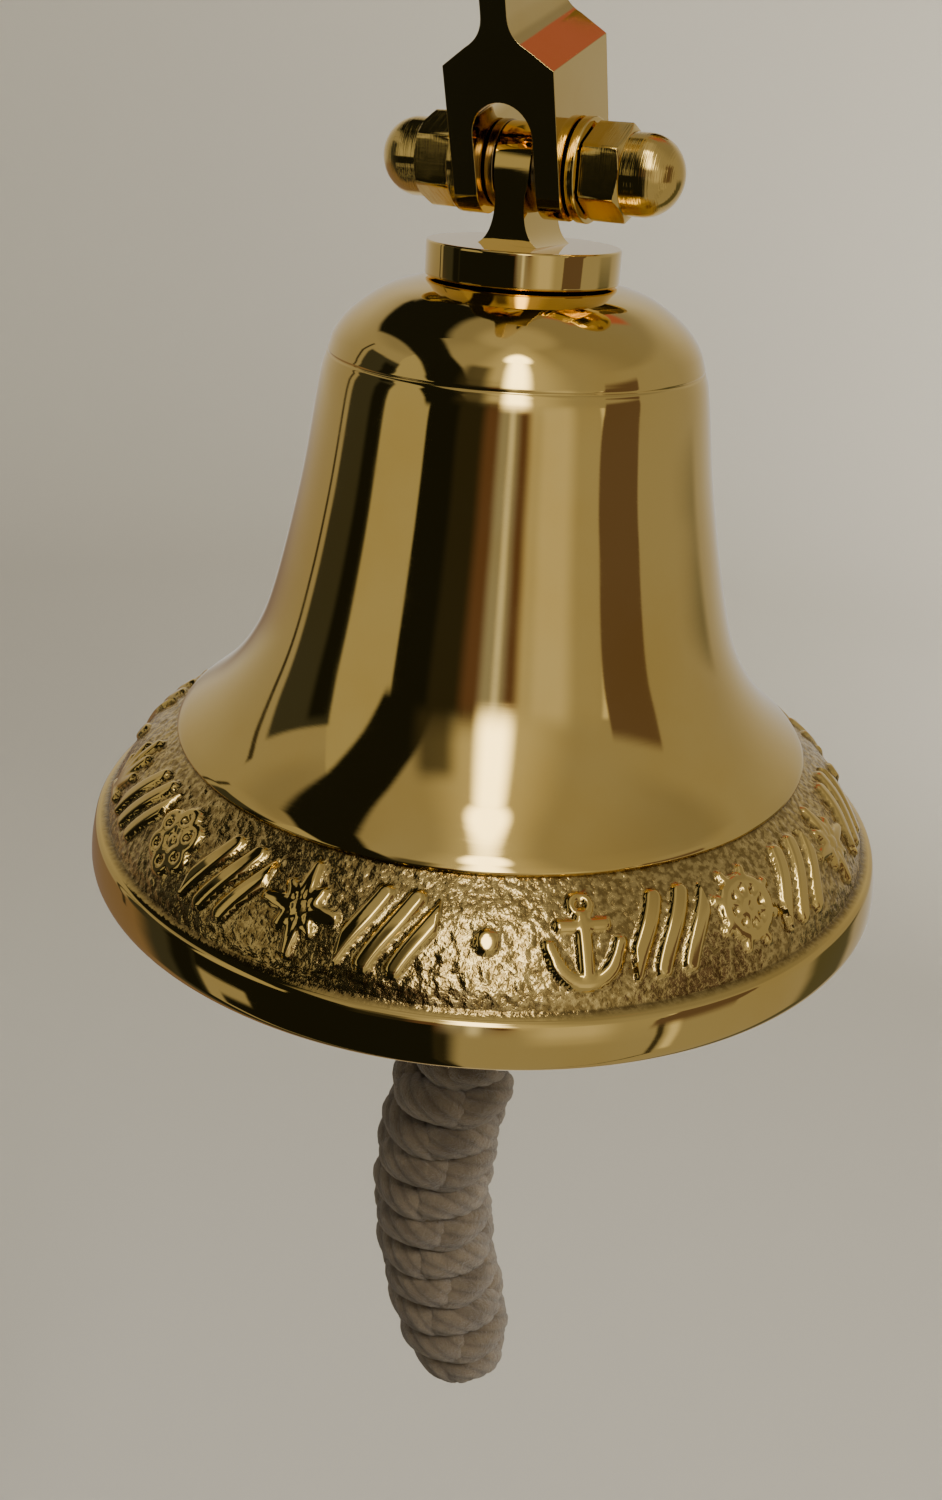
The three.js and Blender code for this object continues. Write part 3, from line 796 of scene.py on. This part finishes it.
def bell_rings():
    """Every ring of the bell from the lip up the outside and down the inside, as
    (columns, radius, level, ground, crevice, inside)."""
    flank = spline(FLANK, 460)
    normals = side_normals(flank)
    start, stop = (int(np.searchsorted(flank[:, 1], level)) for level in (BAND_LOW, BAND_HIGH))
    band = evenly(flank[start:stop] - normals[start:stop] * BAND_SINK, BAND_ROWS)
    plain = lambda points, inside=0: [(COLUMNS, r, z, 0, 0, inside) for r, z in points]
    lip = eased([*LIP, tuple(band[0] + (-0.1, -0.2))], 0.7, steps=2)
    radius, level, ground, crevice = band_surface(band, side_normals(band))
    rings = plain(lip[:-1])
    rings += [(BAND_COLUMNS, radius[k], level[k], ground[k], crevice[k], 0) for k in range(BAND_ROWS)]
    waist = flank[stop + 1:]
    ledge = eased([tuple(band[-1] + (-0.25, 0.15)), tuple(waist[0] + (0.25, -0.5)),
                   tuple(waist[0] + (-1.2, 1.0))], 0.6, steps=2)
    rings += plain(ledge[1:-1])
    above = evenly(waist[3:], 58)
    fine = np.linspace(GROOVE["level"] - GROOVE["reach"], GROOVE["level"] + GROOVE["reach"], 15)
    above = above[(above[:, 1] < fine[0]) | (above[:, 1] > fine[-1])]
    fine = np.stack([np.interp(fine, waist[:, 1], waist[:, 0]), fine], 1)
    fine[:, 0] -= GROOVE["depth"] * np.exp(-((fine[:, 1] - GROOVE["level"]) / GROOVE["half_width"]) ** 2)
    above = np.vstack([above, fine])
    above = above[np.argsort(above[:, 1], kind="stable")]
    rings += plain([*map(tuple, above), (BORE, CROWN_TOP)])
    inside = flank[::18] - normals[::18] * wall_at(flank[::18, 1])[:, None]
    inside = inside[(inside[:, 1] > 3) & (inside[:, 0] > 29.3)]
    dome = spline([tuple(inside[-1]), *INNER_DOME], 9)
    under = [(BORE, CROWN_UNDER), *map(tuple, dome[::-1]), *map(tuple, inside[-2::-1]), *INNER_LIP]
    rings += plain(under, 1)
    return rings


def bell():
    vertices, faces, rings = [], [], []
    fields = {"ground": [], "crevice": [], "inside": []}
    count = 0
    for columns, radius, level, *values in bell_rings():
        angle = full_turn(columns)
        one = np.ones(columns)
        vertices.append(np.stack([np.cos(angle) * radius, np.sin(angle) * radius, level * one], 1))
        rings.append(np.arange(columns) + count)
        count += columns
        for name, value in zip(fields, values):
            fields[name].append(value * one)
    for low, high in zip(rings, rings[1:] + rings[:1]):
        if len(low) == len(high):
            faces += np.stack([low, np.roll(low, -1), np.roll(high, -1), high], 1).tolist()
            continue
        share = max(len(low), len(high)) // COLUMNS
        for k in range(COLUMNS):
            n = (k + 1) % COLUMNS
            if len(high) > len(low):
                run = [int(high[(k * share + i) % len(high)]) for i in range(share, -1, -1)]
                faces.append([int(low[k]), int(low[n]), *run])
            else:
                run = [int(low[(k * share + i) % len(low)]) for i in range(share + 1)]
                faces.append([*run, int(high[n]), int(high[k])])
    piece = to_object("bell_cast", placed(np.vstack(vertices)), faces, bell_brass(), sharp=70)
    store(piece, **{name: np.concatenate(values) for name, values in fields.items()})
    return finish_piece(piece, "bell", "polished_brass", "bell_shell")


bell()

# ---- nuts, washers and bolt

WASHER_OUT = 9.7                         # middle of the bolt to a washer's inner face
NUT_OUT = 11.6
SPACER_OUT = 3.4
NUT_FLAT = 6.5                           # middle of a nut to each of its flats
NUT_CORNER = 7.6
NUT_HEIGHT = 6.5
DOME_RADIUS = 6.25
NUT_OVERALL = 15
BOLT_RADIUS = 3.95
BOLT_HALF = 22
BOLT_BORE = 4.3
THREAD = {"pitch": 1.25, "depth": 0.55, "from": 10.5}


def hexagon(angle):
    """Distance from the middle to the side of a hexagon with softened corners."""
    sides = np.radians(np.arange(6) * 60 + 30)
    reach = np.maximum(np.cos(angle[:, None] - sides), 0) ** 70
    return NUT_FLAT / reach.sum(1) ** (1 / 70)


def nut_mesh(rows, facets=144):
    """Turns (radius, height, hexagonal) rows; a hexagonal row keeps inside the nut's flats."""
    flats = hexagon(full_turn(facets))
    profile = [(radius, height) for radius, height, _ in rows]
    vertices, faces = turned_mesh(profile, facets, closed=rows[0][0] > 0)
    start = 0
    for radius, _, hexagonal in rows:
        size = 1 if radius < 1e-6 else facets
        if hexagonal:
            vertices[start:start + size, :2] *= np.minimum(1, flats / radius)[:, None]
        start += size
    return vertices, faces


def chamfer(height, up):
    """Rows of a nut's corner chamfer at one end."""
    steps = np.linspace(0, 1.0, 9)
    rows = [(NUT_FLAT * 0.985 + 1.05 * t, height - up * 0.62 * t, True) for t in steps]
    return rows[::-1] if up > 0 else rows


def cap_nut(name, axis, material):
    blind_end = 12.2
    rows = [(0, blind_end, False), (BOLT_BORE, blind_end, False), (BOLT_BORE, 0.25, False),
            (BOLT_BORE + 0.25, 0, False), (7.1, 0, True), (NUT_CORNER, 0.25, True), (NUT_CORNER, 3.5, True)]
    rows += chamfer(NUT_HEIGHT, 1)
    rows += [(DOME_RADIUS + 0.02, NUT_HEIGHT + 0.03, False), (DOME_RADIUS, NUT_HEIGHT + 0.3, False)]
    centre = NUT_OVERALL - DOME_RADIUS
    for t in np.radians(np.linspace(0, 90, 22)):
        radius = DOME_RADIUS * math.cos(t) if t < 1.57 else 0
        rows.append((radius, centre + DOME_RADIUS * math.sin(t), False))
    vertices, faces = nut_mesh(rows)
    vertices[:, 2] += NUT_OUT
    piece = solid(f"domed_nut_{name}", placed(vertices, axis, BOLT), faces, material)
    return finish_piece(piece, "bracket", "bolt_brass", f"cap_nut_{name}")


def threaded(facets=48, rows_per_turn=8):
    """The cross bolt: a rod with a screw thread cut along both its ends."""
    levels = np.arange(-BOLT_HALF, BOLT_HALF + 1e-6, THREAD["pitch"] / rows_per_turn)
    profile = [(0, levels[0]), *[(BOLT_RADIUS, z) for z in levels], (0, levels[-1])]
    vertices, faces = turned_mesh(profile, facets, False)
    body = vertices[1:-1].reshape(len(levels), facets, 3)
    turn = thread_turn(levels, THREAD["pitch"], facets)
    cut = THREAD["depth"] * (1 - np.abs(2 * turn - 1)) * (np.abs(levels) > THREAD["from"])[:, None]
    body[:, :, :2] *= (1 - cut / BOLT_RADIUS)[:, :, None]
    vertices[1:-1] = body.reshape(-1, 3)
    return vertices, faces


def cross_bolt():
    plated = brass("bolt_brass", 0.07, 0.12, lathe_lines=(5200, 60, 60))
    dull = brass("dull_brass", 0.2, 0.2, (0.46, 0.33, 0.15, 1), (0.30, 0.21, 0.09, 1), (4200, 80, 80))
    vertices, faces = threaded()
    bolt = solid("cross_bolt", placed(vertices, "x", BOLT), faces, dull)
    finish_piece(bolt, "bracket", "bolt_brass", "pivot_bolt")
    for side, axis in (("right", "x"), ("left", "-x")):
        for kind, node, outer, start, thick, material in (
                ("wide", "outer_washer", 8, WASHER_OUT, 1.6, plated),
                ("thin", "spacer_washer", 6.8, SPACER_OUT, 1.5, dull)):
            piece = turned(f"{kind}_washer_{side}", sleeve(BOLT_BORE, outer, start, start + thick),
                           material, BOLT, axis, closed=True)
            finish_piece(piece, "bracket", "bolt_brass", f"{node}_{side}")
        cap_nut(side, axis, plated)


cross_bolt()

# ---- solid joining

def joined(name, parts, material, minus=(), sharp=30, edge=0.25):
    """One solid from overlapping ones, with some cut away and its edges softened."""
    base = parts[0]
    for operation, tools in (("UNION", parts[1:]), ("DIFFERENCE", minus)):
        for tool in tools:
            modifier = base.modifiers.new("join", "BOOLEAN")
            modifier.operation = operation
            modifier.solver = "EXACT"
            modifier.object = tool
    baked(base)
    for tool in [*parts[1:], *minus]:
        mesh = tool.data
        bpy.data.objects.remove(tool)
        bpy.data.meshes.remove(mesh)
    flattened(base, 1e-6, 0.4)
    painted(base, name, material)
    smooth(base, 40)
    if edge:
        soften_edges(base, edge, sharp)
    base.data.name = name
    return base


def soften_edges(piece, width, sharp=30):
    """Round the piece's edges, and keep its flat faces flat right up to them."""
    bevel = piece.modifiers.new("edges", "BEVEL")
    bevel.width = width * MM
    bevel.segments = 3
    bevel.limit_method = "ANGLE"
    bevel.angle_limit = math.radians(sharp)
    baked(piece)
    smooth(piece, 60)
    level_normals = piece.modifiers.new("normals", "WEIGHTED_NORMAL")
    level_normals.weight = 90
    level_normals.keep_sharp = True
    baked(piece)


# ---- crown hanger

COLLAR = {"radius": 16.4, "low": 105.2, "high": 110.9}
PIVOT_HEIGHT = (BOLT.z - LIP_Z) / MM
TONGUE_HEAD = 6.6                        # radius of the tongue's round top
TONGUE_WAIST = 2.6                       # half its width at the narrowest
TONGUE_FOOT = 7.0
TONGUE_EYE = 3.1
STUD_LOW = 86


def tongue_mesh():
    """The hanger's tongue as level slices: thin at the eye, waisted, flared at its foot."""
    t = np.linspace(0, 1, 30)[:, None] ** 1.3
    front = ((1 - t) ** 2 * (TONGUE_FOOT, COLLAR["high"] - 0.5)
             + 2 * t * (1 - t) * (TONGUE_WAIST, COLLAR["high"]) + t * t * (TONGUE_WAIST, PIVOT_HEIGHT - 5))
    slices = [(half, TONGUE_HEAD, level) for half, level in front]
    for half, rise in ((2.68, -4), (2.85, -3), (3.0, -2), (3.08, -1), (TONGUE_EYE, 0), (TONGUE_EYE, 2)):
        slices.append((half, math.sqrt(TONGUE_HEAD ** 2 - max(rise, 0) ** 2), PIVOT_HEIGHT + rise))
    for turn in np.radians(np.linspace(22, 89.5, 26)):
        rise = TONGUE_HEAD * math.sin(turn)
        slices.append((TONGUE_EYE, TONGUE_HEAD * math.cos(turn), PIVOT_HEIGHT + rise))
    corners = ((-1, -1), (1, -1), (1, 1), (-1, 1))
    vertices = [(half * x, depth * y, level) for half, depth, level in slices for x, y in corners]
    return np.array(vertices, float), stacked_faces(len(slices), 4)


def crown_hanger():
    polished = brass("hanger_brass", 0.02, 0.03)
    vertices, faces = tongue_mesh()
    tongue = solid("tongue", placed(vertices), faces, polished)
    disc = post(COLLAR["radius"], COLLAR["low"], COLLAR["high"])
    collar = turned("collar", disc, polished, facets=144, ease=0.55)
    stud = turned("stud", post(BOLT_RADIUS, STUD_LOW, COLLAR["low"] + 1), polished, facets=48)
    bore = turned("bore", post(BOLT_BORE, -20, 20), polished, BOLT, "x", facets=64, ease=0)
    piece = joined("hanger_yoke", [collar, tongue, stud], polished, [bore], edge=0.3)
    return finish_piece(piece, "bell", "polished_brass", "crown_hanger")


crown_hanger()


def crown_fasteners():
    material = brass("inner_brass", 0.12, 0.3, (0.70, 0.51, 0.19, 1), (0.56, 0.39, 0.13, 1))
    washer = turned("crown_washer_ring", sleeve(BOLT_BORE, 10, 98.3, 99.9), material, closed=True)
    finish_piece(washer, "bell", "clapper_brass", "crown_washer")
    low, high = 91.5, 98.0
    rows = [(BOLT_BORE, low + 0.3, False), (BOLT_BORE + 0.3, low, False), *chamfer(low, -1),
            (NUT_CORNER, (low + high) / 2, True), *chamfer(high, 1),
            (BOLT_BORE + 0.3, high, False), (BOLT_BORE, high - 0.3, False)]
    vertices, faces = nut_mesh(rows)
    nut = solid("crown_nut_hex", placed(vertices), faces, material)
    finish_piece(nut, "bell", "clapper_brass", "crown_nut")
    return material


inner_brass = crown_fasteners()

# ---- bracket

def wall_bracket():
    material = brass("bracket_brass", 0.05, 0.3, (0.82, 0.62, 0.24, 1), (0.78, 0.56, 0.19, 1))
    piece = frame["nodes"]["wall_bracket"].copy()
    piece.data = piece.data.copy()
    bpy.context.scene.collection.objects.link(piece)
    flattened(piece, 2e-5, 1.0)
    painted(piece, "swan_neck_bracket", material)
    piece.data.name = piece.name
    soften_edges(piece, 0.4)
    return finish_piece(piece, "bracket", "bracket_brass", "wall_bracket")


wall_bracket()

# ---- wall screws

PLATE_DEPTH = 6
SCREW = {"head": 4.0, "core": 1.5, "crest": 2.0, "length": 24, "pitch": 1.6, "thread_from": -1.2}
SCREW_SLOT = {"half": 5.0, "wide": 0.6, "deep": 1.2}


def screw_solid(material):
    """A slotted countersunk wood screw pointing along +Z from the plate's front."""
    top = -PLATE_DEPTH + 0.2
    head, crest, start = SCREW["head"], SCREW["crest"], SCREW["thread_from"]
    levels = np.arange(start, SCREW["length"] - 0.2, SCREW["pitch"] / 6)
    facets = 36
    profile = [(0, top), (1.5, top), (head - 0.3, top + 0.02), (head, top + 0.3), (crest, -PLATE_DEPTH + 3),
               (crest - 0.15, -1.5), *[(1.0, z) for z in levels], (0, SCREW["length"])]
    vertices, faces = turned_mesh(profile, facets, False)
    shank = slice(-1 - len(levels) * facets, -1)
    body = vertices[shank].reshape(len(levels), facets, 3)
    turn = thread_turn(levels, SCREW["pitch"], facets)
    point = np.clip((SCREW["length"] - levels) / 8, 0.12, 1)[:, None]
    rise = np.clip(1 - np.abs(2 * turn - 1) * 2.2, 0, 1) * np.clip((levels[:, None] - start) / 1.6, 0, 1)
    body[:, :, :2] *= ((SCREW["core"] + (crest - SCREW["core"]) * rise) * point)[:, :, None]
    vertices[shank] = body.reshape(-1, 3)
    screw = solid("screw", vertices * MM, faces, material)
    half, wide = SCREW_SLOT["half"], SCREW_SLOT["wide"]
    corners = [(x, y, z) for x in (-half, half) for y in (-wide, wide)
               for z in (top - 1, top + SCREW_SLOT["deep"])]
    sides = [(0, 1, 3, 2), (4, 6, 7, 5), (0, 4, 5, 1), (2, 3, 7, 6), (0, 2, 6, 4), (1, 5, 7, 3)]
    cutter = linked("slot", np.array(corners) * MM, [], sides)
    return joined("wood_screw", [screw], material, [cutter], edge=0.12, sharp=40)


def new_geometry_tree(name, inputs):
    inputs = {"Geometry": ("Geometry", None), **inputs}
    return new_group(name, inputs, {"Geometry": "Geometry"}, "GeometryNodeTree")


def run_geometry(piece, tree, **values):
    """Give a piece the tree as a modifier with these inputs and keep the result as a mesh."""
    modifier = piece.modifiers.new(tree.name, "NODES")
    modifier.node_group = tree
    for item in tree.interface.items_tree:
        label = item.name.replace(" ", "_")
        if item.item_type == "SOCKET" and item.in_out == "INPUT" and label in values:
            modifier[item.identifier] = values[label]
    return baked(piece)


def close_tree(tree, geometry, material, result):
    """End a geometry tree with real meshes that carry the material."""
    real = new_node(tree, "GeometryNodeRealizeInstances", {0: geometry}).outputs[0]
    paint = new_node(tree, "GeometryNodeSetMaterial", {"Geometry": real, "Material": material})
    feed(tree, result, {"Geometry": paint.outputs[0]})


def make_screw_tree():
    """Sets a screw on every point, each turned to its own slot angle."""
    tree, given, result = new_geometry_tree("driven_screws", {
        "Screw": ("Object", None), "Slot Turn": ("Float", 0.6), "Seed": ("Int", 4),
        "Finish": ("Material", None)})
    screw = new_node(tree, "GeometryNodeObjectInfo", {"Object": given["Screw"]}).outputs["Geometry"]
    least = times(tree, given["Slot Turn"], -1.0)
    values = {2: least, 3: given["Slot Turn"], "Seed": given["Seed"]}
    angle = new_node(tree, "FunctionNodeRandomValue", values, data_type="FLOAT").outputs[1]
    turns = {}
    for k, part in enumerate(({0: -math.pi / 2}, {2: angle})):
        euler = new_node(tree, "ShaderNodeCombineXYZ", part).outputs[0]
        turns[k] = new_node(tree, "FunctionNodeEulerToRotation", {0: euler}).outputs[0]
    spin = new_node(tree, "FunctionNodeRotateRotation", turns, rotation_space="LOCAL").outputs[0]
    points = new_node(tree, "GeometryNodeMeshToPoints", {"Mesh": given["Geometry"]}).outputs[0]
    place = new_node(tree, "GeometryNodeInstanceOnPoints",
                     {"Points": points, "Instance": screw, "Rotation": spin})
    close_tree(tree, place.outputs[0], given["Finish"], result)
    return tree


def wall_screws():
    material = brass("screw_brass", 0.16, 0.2, (0.78, 0.57, 0.22, 1), (0.60, 0.42, 0.15, 1))
    screw = screw_solid(material)
    nodes = [f"wall_screw_{place}" for place in ("upper_left", "upper_right", "lower_left", "lower_right")]
    centres = []
    for node in nodes:
        low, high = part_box(node)
        centres.append(((low.x + high.x) / 2, 0, (low.z + high.z) / 2))
    piece = linked("wall_screws", centres)
    run_geometry(piece, make_screw_tree(), Screw=screw, Slot_Turn=0.7, Seed=4, Finish=material)
    bpy.data.objects.remove(screw)
    smooth(piece, 40)
    return finish_piece(piece, "bracket", "screw_brass", *nodes)


wall_screws()

# ---- clapper

EYE_CENTRE = 77.8                        # heights in mm above the bell's widest circle
LINK_PIVOT = 71.8
CLAPPER_PIVOT = 61.2
BALL_HEIGHT = -12.2
TAIL_CENTRE = -32.2
LANYARD_PIVOT = -38.2
SENNIT_TOP = -50.2


def wire_ring(name, radius, wire, level, facets=72, sides=24):
    """A round wire ring that stands across the bell, open front to back."""
    turn, side = full_turn(facets)[:, None], full_turn(sides)[None, :]
    reach = radius + wire * np.cos(side)
    depth = wire * np.sin(side) + 0 * turn
    points = np.stack([reach * np.cos(turn), depth, reach * np.sin(turn) + level], 2)
    index = np.arange(facets * sides).reshape(facets, sides)
    over, around = np.roll(index, -1, 0), np.roll(index, -1, 1)
    faces = np.stack([index, around, np.roll(over, -1, 1), over], 2).reshape(-1, 4).tolist()
    return solid(name, placed(points.reshape(-1, 3)), faces, inner_brass)


def swept(name, path, radius, sides=20):
    """A round wire along a path of points in mm, with rounded ends."""
    path = np.array(path, float)
    along = np.gradient(path, axis=0)
    along /= np.linalg.norm(along, axis=1)[:, None]
    side = np.array((1.0, 0, 0))
    angle = full_turn(sides)
    rings = []
    for point, way in zip(path, along):
        cross = np.cross(way, side)
        cross /= np.linalg.norm(cross)
        rings.append(point + radius * (np.cos(angle)[:, None] * side + np.sin(angle)[:, None] * cross))
    closing = (0.94, 0.78, 0.5)
    first = [path[0] + (rings[0] - path[0]) * size for size in closing]
    last = [path[-1] + (rings[-1] - path[-1]) * size for size in closing]
    rings = [*first[::-1], *rings, *last]
    return solid(name, placed(np.vstack(rings)), stacked_faces(len(rings), sides), inner_brass)


def clapper():
    profile = [(0, 81.7), (3.4, 81.7), (6, 84.7), (6, 91.2), (0, 91.2)]
    nut = turned("boss", profile, inner_brass, facets=72, ease=0.7)
    hole = turned("hole", post(BOLT_BORE, 85.4, 92.2), inner_brass, facets=64, ease=0)
    eye = joined("eye_nut", [nut, wire_ring("eye", 6, 2.1, EYE_CENTRE)], inner_brass, [hole], edge=0)
    finish_piece(eye, "bell", "clapper_brass", "clapper_eye")

    bend, low = 4.6, LINK_PIVOT - 6
    middle = LINK_PIVOT - 3
    up = np.radians(np.linspace(0, 180, 30))
    loop = [(0, bend, middle + 0.15), (0, bend, middle + 1.5)]
    for level, turn in ((LINK_PIVOT, up), (low, up + math.pi)):
        loop += [(0, bend * math.cos(t), level + bend * math.sin(t)) for t in turn]
    loop += [(0, bend, middle - 1.5), (0, bend, middle - 0.15)]
    finish_piece(swept("bent_link", loop, 2.0), "link", "clapper_brass", "clapper_link")

    shank = turned("shank", post(3, TAIL_CENTRE + 5.5, CLAPPER_PIVOT - 4.5), inner_brass, facets=48, ease=0)
    head = wire_ring("head", 5, 2.0, CLAPPER_PIVOT)
    tail = wire_ring("tail", 6, 2.1, TAIL_CENTRE)
    rod = joined("clapper_shank", [shank, head, tail], inner_brass, edge=0)
    finish_piece(rod, "clapper", "clapper_brass", "clapper_rod")

    radius, hole_radius = 11.5, 3.3
    start = math.acos(hole_radius / radius)
    arc = np.linspace(-start, start, 50)
    profile = [(radius * math.cos(t), BALL_HEIGHT + radius * math.sin(t)) for t in arc]
    ball = turned("striking_ball", profile, inner_brass, closed=True, ease=0)
    finish_piece(ball, "clapper", "clapper_brass", "clapper_ball")


clapper()

# ---- lanyard

def make_cord_tree():
    """Runs a twisted cord of several yarns along every line of the input."""
    tree, given, result = new_geometry_tree("twisted_cord", {
        "Radius": ("Float", 0.004), "Yarns": ("Int", 6), "Yarn Depth": ("Float", 0.12),
        "Twist": ("Float", 200.0), "Sides": ("Int", 30), "Finish": ("Material", None)})

    def step(kind, output=0, values=None, **settings):
        return new_node(tree, kind, values, **settings).outputs[output]

    line = step("GeometryNodeMeshToCurve", values={"Mesh": given["Geometry"]})
    taper = step("GeometryNodeInputNamedAttribute", values={"Name": "thickness"}, data_type="FLOAT")
    sized = step("GeometryNodeSetCurveRadius", values={"Curve": line, "Radius": taper})
    length = step("GeometryNodeSplineParameter", "Length")
    twist = times(tree, length, given["Twist"])
    tilted = step("GeometryNodeSetCurveTilt", values={"Curve": sized, "Tilt": twist})
    section = step("GeometryNodeCurvePrimitiveCircle",
                   values={"Resolution": given["Sides"], "Radius": given["Radius"]})
    factor = step("GeometryNodeSplineParameter", "Factor")
    wave = maths(tree, "SINE", times(tree, times(tree, factor, given["Yarns"]), math.pi))
    dip = maths(tree, "SUBTRACT", 1.0, maths(tree, "ABSOLUTE", wave))
    dip = times(tree, maths(tree, "POWER", dip, 2.0), given["Yarn Depth"])
    place = step("GeometryNodeInputPosition")
    shrink = maths(tree, "SUBTRACT", 1.0, dip)
    scaled = step("ShaderNodeVectorMath", values={0: place, "Scale": shrink}, operation="SCALE")
    lobed = step("GeometryNodeSetPosition", values={"Geometry": section, "Position": scaled})
    # The share of each groove's depth is kept so that the cotton shader can paint shade into the grooves.
    share = maths(tree, "DIVIDE", dip, maths(tree, "ADD", given["Yarn Depth"], 0.001))
    marked = step("GeometryNodeStoreNamedAttribute",
                  values={"Geometry": lobed, "Name": "hollow", "Value": share},
                  data_type="FLOAT", domain="POINT")
    sweep = step("GeometryNodeCurveToMesh",
                 values={"Curve": tilted, "Profile Curve": marked, "Fill Caps": True})
    close_tree(tree, sweep, given["Finish"], result)
    return tree


CORD = make_cord_tree()


def cords(name, lines, thickness, material, **sizes):
    """Twisted cords along lines of points, given in mm from the bell's widest circle."""
    points, edges, widths = [], [], []
    for line, width in zip(lines, thickness):
        start = len(points)
        points += [on_bell(*p) for p in line]
        edges += [(start + i, start + i + 1) for i in range(len(line) - 1)]
        widths += list(width)
    piece = linked(name, points, edges)
    store(piece, thickness=widths)
    run_geometry(piece, CORD, Finish=material, **sizes)
    smooth(piece, 180)
    return piece


PULL = {"radius": 14.0, "length": 101, "bow": 6.0, "bow_yaw": 25.0, "cord": 4.6, "layers": 11,
        "end_room": 4.4}
BRAID_TURN = 70.1                        # bearing of a corner of the braid
BRAID_POINTS = 22


def bowed(points):
    """Bend points of the straight pull, in mm, into the slight bow it hangs in."""
    points = np.array(points, float)
    down = (SENNIT_TOP - points[:, 2]) / PULL["length"]
    aside = -PULL["bow"] * np.sin(1.25 * math.pi * down)
    yaw = math.radians(PULL["bow_yaw"])
    points[:, 0] += aside * math.cos(yaw)
    points[:, 1] += aside * math.sin(yaw)
    return points


def braid_layer(layer, level, size):
    """Four cords of one layer: each crosses one side of the pull, over one neighbour and
    under the next, the other way round in every second layer."""
    lines = []
    sense = 1 if layer % 2 else -1
    along = np.linspace(-1, 1, BRAID_POINTS)
    for side in range(4):
        angle = np.radians(side * 90 + BRAID_TURN + along * 55)
        lift = sense * along
        reach = PULL["radius"] - PULL["cord"] - 4.6 * np.clip(-lift, 0, 1) ** 2.6
        radius = (reach - 2.0 * np.clip(lift, 0, 1) ** 8) * size
        height = level + 1.6 * lift - 2.2 * np.abs(along) ** 3 + 0.8
        lines.append(bowed(np.stack([radius * np.cos(angle), radius * np.sin(angle), height], 1)))
    return lines


def sennit(material):
    lines, widths = [], []
    layers = PULL["layers"]
    pitch = (PULL["length"] - 2 * PULL["cord"] - PULL["end_room"]) / (layers - 1)
    ends = {0: 0.72, 1: 0.97}
    swell = 1.0 - 0.2 * np.abs(np.linspace(-1, 1, BRAID_POINTS)) ** 2
    for layer in range(layers):
        level = SENNIT_TOP - PULL["cord"] - 0.9 - layer * pitch
        size = ends.get(layer, ends.get(layers - 1 - layer, 1.0))
        for line in braid_layer(layer, level, size):
            lines.append(line)
            widths.append(swell)
    middle = np.linspace(SENNIT_TOP - 5, SENNIT_TOP - PULL["length"] + 5.2, 40)
    lines.append(bowed([(0, 0, z) for z in middle]))
    widths.append(1.5 - 0.5 * np.abs(np.linspace(-1, 1, 40)) ** 8)
    piece = cords("braided_pull", lines, widths, material, Radius=PULL["cord"] * MM, Yarns=7,
                  Yarn_Depth=0.07, Twist=260.0, Sides=35)
    return finish_piece(piece, "lanyard", "cotton_rope", "lanyard_sennit")


def rope_eye(material):
    cord, bend, foot = 2.6, 5.2, SENNIT_TOP + 0.3
    leg = cord + 0.15
    over = np.pi - np.arange(1, 6) / 6 * np.pi
    eye = [(0, -leg, foot), (0, -leg, foot + 3), (0, -bend, LANYARD_PIVOT - 1)]
    eye += [(0, bend * math.cos(t), LANYARD_PIVOT + bend * math.sin(t)) for t in over]
    eye += [(0, bend, LANYARD_PIVOT - 1), (0, leg, foot + 3), (0, leg, foot)]
    line = spline(eye, 70)
    piece = cords("rope_eye", [line], [np.ones(len(line))], material, Radius=cord * MM, Yarns=3,
                  Yarn_Depth=0.3, Twist=520.0, Sides=30)
    return finish_piece(piece, "lanyard", "cotton_rope", "lanyard_eye")


def whipping(material):
    """Two layers of twine wound opposite ways round the foot of the rope eye."""
    turns, radius, wire, space = 3, 6.85, 0.56, 3.3
    angle = np.linspace(0, turns * 2 * math.pi, turns * 40)
    height = SENNIT_TOP + 0.35 + wire + (space - 2 * wire) * angle / angle[-1]
    coils = []
    for reach, way in ((radius, angle), (radius - 0.75, -angle)):
        coils.append(np.stack([reach * np.cos(way), reach * np.sin(way), height], 1))
    ones = np.ones(len(angle))
    piece = cords("whipping_twine", coils, [ones, ones], material, Radius=wire * MM, Yarns=3,
                  Yarn_Depth=0.25, Twist=2600.0, Sides=12)
    return finish_piece(piece, "lanyard", "cotton_twine", "lanyard_seizing")


rope = cotton("cotton_rope", (0.20, 0.155, 0.10, 1), (0.11, 0.083, 0.053, 1))
sennit(rope)
rope_eye(rope)
whipping(cotton("cotton_twine", (0.36, 0.31, 0.24, 1), (0.22, 0.18, 0.13, 1)))
